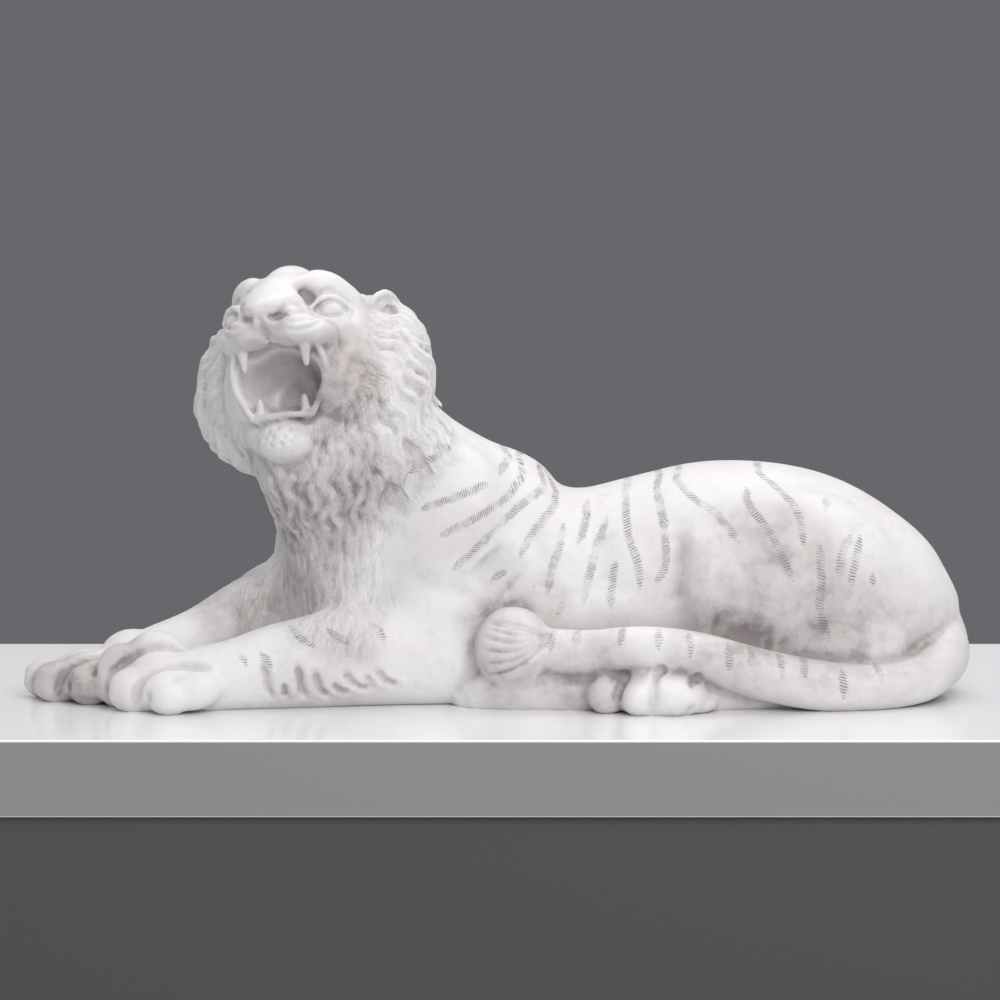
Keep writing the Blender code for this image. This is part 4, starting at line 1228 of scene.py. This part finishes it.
def stone(finish):
    """White cast stone: warm wash and painted shade in hollows and shaded places, faint blush, and grey ticks
    hatched along the stripes.
    """
    material, nodes, paint = new_material("antique white stone")
    where = nodes.add("ShaderNodeTexCoord").outputs["Object"]
    hollow, rubbed, furry = nodes.mark("hollow"), nodes.mark("rubbed"), nodes.mark("furry")
    height, patches = nodes.grain(where, 900)

    # Hair of the ruff and the chest: fine lines that run along each lock
    along = nodes.times(nodes.mark("hair_along"), 0.09)
    lines = nodes.add("ShaderNodeCombineXYZ", (nodes.mark("hair_across"), along)).outputs[0]
    strands = nodes.ramp(nodes.noise(lines, 1.15, 2, 0.6), 0.34, 0.62)
    between = nodes.reckon("SUBTRACT", 1, strands)

    # Wash with painted shade: darker in hollows and between the hairs, and smudged over the places where the
    # wash was rubbed on and where shade is painted
    hollow_wash_and_shade = nodes.times(hollow, nodes.times_plus(rubbed, 0.4, 0.34))
    hollow_wash_and_shade = nodes.times(hollow_wash_and_shade, nodes.times_plus(furry, -0.4, 1))
    # Darker between the hairs of the ruff and chest: wash and painted shade in the gaps
    hair_gap_wash_and_shade = nodes.times(furry, nodes.times_plus(rubbed, 0.3, 0.1))
    # Clouded wash and painted shade over the rubbed places, such as the cheek and under the tail
    smudged_wash_and_shade = nodes.times(rubbed, nodes.ramp(nodes.noise(where, 38, 4, 0.6), 0.25, 0.68, 0.25, 1))
    specks = nodes.ramp(nodes.noise(where, 160, 4, 0.65), 0.45, 0.75)
    wash_and_shade = nodes.times_plus(smudged_wash_and_shade, 0.92, hollow_wash_and_shade)
    wash_and_shade = nodes.times_plus(specks, 0.12, wash_and_shade)
    wash_and_shade = nodes.times_plus(between, hair_gap_wash_and_shade, wash_and_shade)
    wash_and_shade = nodes.times(wash_and_shade, nodes.ramp(patches, 0, 1, 0.7, 1.1), clamp=True)
    # The blush grows with the rubbed mask too, so it also warms and darkens the places of painted shade
    blush = nodes.times(nodes.ramp(nodes.noise(where, 22, 3, 0.55), 0.42, 0.75), 0.5)
    blush = nodes.reckon("ADD", blush, nodes.times(rubbed, 0.55), clamp=True)
    colour = nodes.blend(blush, tuple(finish.stone), tuple(finish.blush))
    # The wash colour laid on by the mask: antique wash, and painted shade in hollows and shaded places
    colour = nodes.blend(wash_and_shade, colour, tuple(finish.wash_and_shade))

    # Stripes: short ticks side by side along each line, uneven in strength and in length
    wander = nodes.noise(where, 420, 2, 0.5)
    turns = nodes.times(nodes.mark("stripe_along"), 2 * math.pi * MM / finish.tick_gap)
    beat = nodes.reckon("SINE", nodes.times_plus(wander, 5.0, turns))
    half = finish.tick_length / MM / 2
    ragged = nodes.times_plus(wander, 2.4, nodes.mark("stripe_gap"))
    worn = nodes.ramp(nodes.noise(where, 130, 3, 0.6), 0.36, 0.6, 0.25, 1)
    band = nodes.times(nodes.ramp(ragged, half * 0.9, half * 1.5, 1, 0), worn)
    ticks = nodes.times(nodes.ramp(beat, 0.0, 0.9), band)
    tick_colour = tuple(finish.tick_colour)
    colour = nodes.blend(nodes.times(band, 0.16), colour, tick_colour)
    colour = nodes.blend(nodes.times(ticks, 0.92), colour, tick_colour)

    # Relief: grain and fine lumps, raised hairs, and ticks cut in
    relief = nodes.times_plus(height, 0.2, nodes.times(ticks, -1.0))
    relief = nodes.times_plus(nodes.times(strands, furry), 1.3, relief)
    relief = nodes.times_plus(nodes.noise(where, 170, 3, 0.55), 1.6, relief)
    bump = nodes.add("ShaderNodeBump")
    nodes.wire(0.55, bump.inputs["Strength"])
    nodes.wire(0.4 * MM, bump.inputs["Distance"])
    nodes.wire(relief, bump.inputs["Height"])
    rough = nodes.ramp(patches, 0, 1, finish.roughness - 0.05, finish.roughness + 0.08)
    nodes.wire(colour, paint["Base Color"])
    nodes.wire(rough, paint["Roughness"])
    nodes.wire(bump.outputs[0], paint["Normal"])
    return material


def gloss_white(stage):
    """Lacquered shelf top."""
    material, nodes, paint = new_material("gloss white")
    where = nodes.add("ShaderNodeTexCoord").outputs["Object"]
    height, patches = nodes.grain(where, 60)
    dull = (0.6, 0.6, 0.62, 1)
    nodes.wire(nodes.blend(nodes.times(patches, 0.04), tuple(stage.shelf_colour), dull), paint["Base Color"])
    nodes.wire(nodes.ramp(height, 0.4, 1.2, 0.12, 0.2), paint["Roughness"])
    return material


def plain(name, colour, roughness):
    material, nodes, paint = new_material(name)
    nodes.wire(tuple(colour), paint["Base Color"])
    nodes.wire(roughness, paint["Roughness"])
    return material


# Stage


def slab(name, low, high, bevel, material, front=None):
    """A box between two corners, with rounded edges. Its front may be of another material."""
    lumps = bmesh.new()
    bmesh.ops.create_cube(lumps, size=1)
    bmesh.ops.scale(lumps, verts=lumps.verts, vec=Vector(high) - Vector(low))
    bmesh.ops.translate(lumps, verts=lumps.verts, vec=(Vector(low) + Vector(high)) / 2)
    if bevel:
        rounding = {"offset": bevel, "segments": 4, "profile": 0.5, "affect": "EDGES", "material": -1}
        bmesh.ops.bevel(lumps, geom=list(lumps.edges), **rounding)
    for face in lumps.faces:
        face.material_index = int(front is not None and face.normal.y < -0.9)
    thing = placed(as_mesh(lumps, name), name)
    thing.data.materials.append(material)
    if front is not None:
        thing.data.materials.append(front)


def lamp(name, place, target, size, power):
    light = bpy.data.lights.new(name, "AREA")
    light.shape = "RECTANGLE"
    light.size, light.size_y = size
    light.energy = power
    thing = placed(light, name)
    thing.location = place
    thing.rotation_euler = (Vector(target) - Vector(place)).to_track_quat("-Z", "Y").to_euler()


def room(stage):
    """Even light from all round. The camera sees the plain grey wall instead."""
    world = bpy.data.worlds.new("room")
    bpy.context.scene.world = world
    world.use_nodes = True
    world.node_tree.nodes.clear()
    nodes = Nodes(world.node_tree)
    light = nodes.add("ShaderNodeBackground", ((1, 1, 1, 1), stage.sky)).outputs[0]
    wall = nodes.add("ShaderNodeBackground", (tuple(stage.wall_colour),)).outputs[0]
    rays = nodes.add("ShaderNodeLightPath").outputs
    seen = nodes.reckon("MAXIMUM", rays["Is Camera Ray"], rays["Is Transmission Ray"])
    mixed = nodes.add("ShaderNodeMixShader", (seen, light, wall)).outputs[0]
    nodes.add("ShaderNodeOutputWorld", (mixed,))


def camera(stage):
    """A long lens from the near side, a little above the shelf."""
    data = bpy.data.cameras.new("camera")
    data.sensor_width = 36
    data.lens = data.sensor_width * stage.distance / stage.view_width
    back = Vector((0, -math.cos(stage.elevation), math.sin(stage.elevation)))
    thing = placed(data, "camera")
    thing.location = CAMERA_TARGET + back * stage.distance
    thing.rotation_euler = (-back).to_track_quat("-Z", "Y").to_euler()
    bpy.context.scene.camera = thing


class TIGER_OT_casting(bpy.types.Operator):
    """Sculpt the tiger and give it its stone"""

    bl_idname = "tiger.casting"
    bl_label = "Casting"

    def execute(self, context):
        casting = sculpted(context.scene.tiger_shape)
        casting.data.materials.append(stone(context.scene.tiger_finish))
        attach(casting, "root")
        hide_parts("tiger")
        return {"FINISHED"}


class TIGER_OT_stage(bpy.types.Operator):
    """Set the shelf, the wall, the lamps and the camera"""

    bl_idname = "tiger.stage"
    bl_label = "Stage"

    def execute(self, context):
        stage = context.scene.tiger_stage
        back = SHELF_FRONT + stage.shelf_depth
        under = -stage.shelf_thickness
        # Painted shade: the front face of the shelf is coloured dark grey, darker than its white top
        edge = plain("grey edge", stage.shaded_edge_colour, 0.5)
        dark = plain("dark grey", stage.plinth_colour, 0.6)
        low, high = (-SHELF_END, SHELF_FRONT, under), (SHELF_END, back, 0)
        slab("shelf", low, high, SHELF_ROUNDING, gloss_white(stage), edge)
        low, high = (-SHELF_END, SHELF_FRONT + PLINTH_INSET, PLINTH_FOOT), (SHELF_END, back, under)
        slab("plinth", low, high, 0, dark)
        lamp("top lamp", place=(0.1, 0.25, 1.4), target=(0, 0, 0.05), size=(1.8, 1.0), power=stage.key)
        lamp("front lamp", place=(0.5, -1.6, 1.2), target=(0, 0, 0.1), size=(1.4, 1.2), power=stage.fill)
        room(stage)
        camera(stage)
        context.scene.view_settings.view_transform = "Standard"
        return {"FINISHED"}


class TIGER_PT_panel(bpy.types.Panel):
    """The steps, with the sizes and colours that they use"""

    bl_label = "Stone tiger"
    bl_idname = "TIGER_PT_panel"
    bl_space_type = "VIEW_3D"
    bl_region_type = "UI"
    bl_category = "Tiger"

    def draw(self, context):
        scene = context.scene
        for operator, groups in (
            (TIGER_OT_casting, (scene.tiger_shape, scene.tiger_finish)),
            (TIGER_OT_stage, (scene.tiger_stage,)),
        ):
            box = self.layout.box()
            box.operator(operator.bl_idname)
            for group in groups:
                for name in group.__annotations__:
                    box.prop(group, name)


CLASSES = (TigerShape, TigerFinish, TigerStage, TIGER_OT_casting, TIGER_OT_stage, TIGER_PT_panel)


def register():
    for each in CLASSES:
        bpy.utils.register_class(each)
    bpy.types.Scene.tiger_shape = PointerProperty(type=TigerShape)
    bpy.types.Scene.tiger_finish = PointerProperty(type=TigerFinish)
    bpy.types.Scene.tiger_stage = PointerProperty(type=TigerStage)


def unregister():
    del bpy.types.Scene.tiger_stage
    del bpy.types.Scene.tiger_finish
    del bpy.types.Scene.tiger_shape
    for each in reversed(CLASSES):
        bpy.utils.unregister_class(each)


def main():
    register()
    bpy.ops.tiger.stage()
    bpy.ops.tiger.casting()


if __name__ == "__main__":
    main()
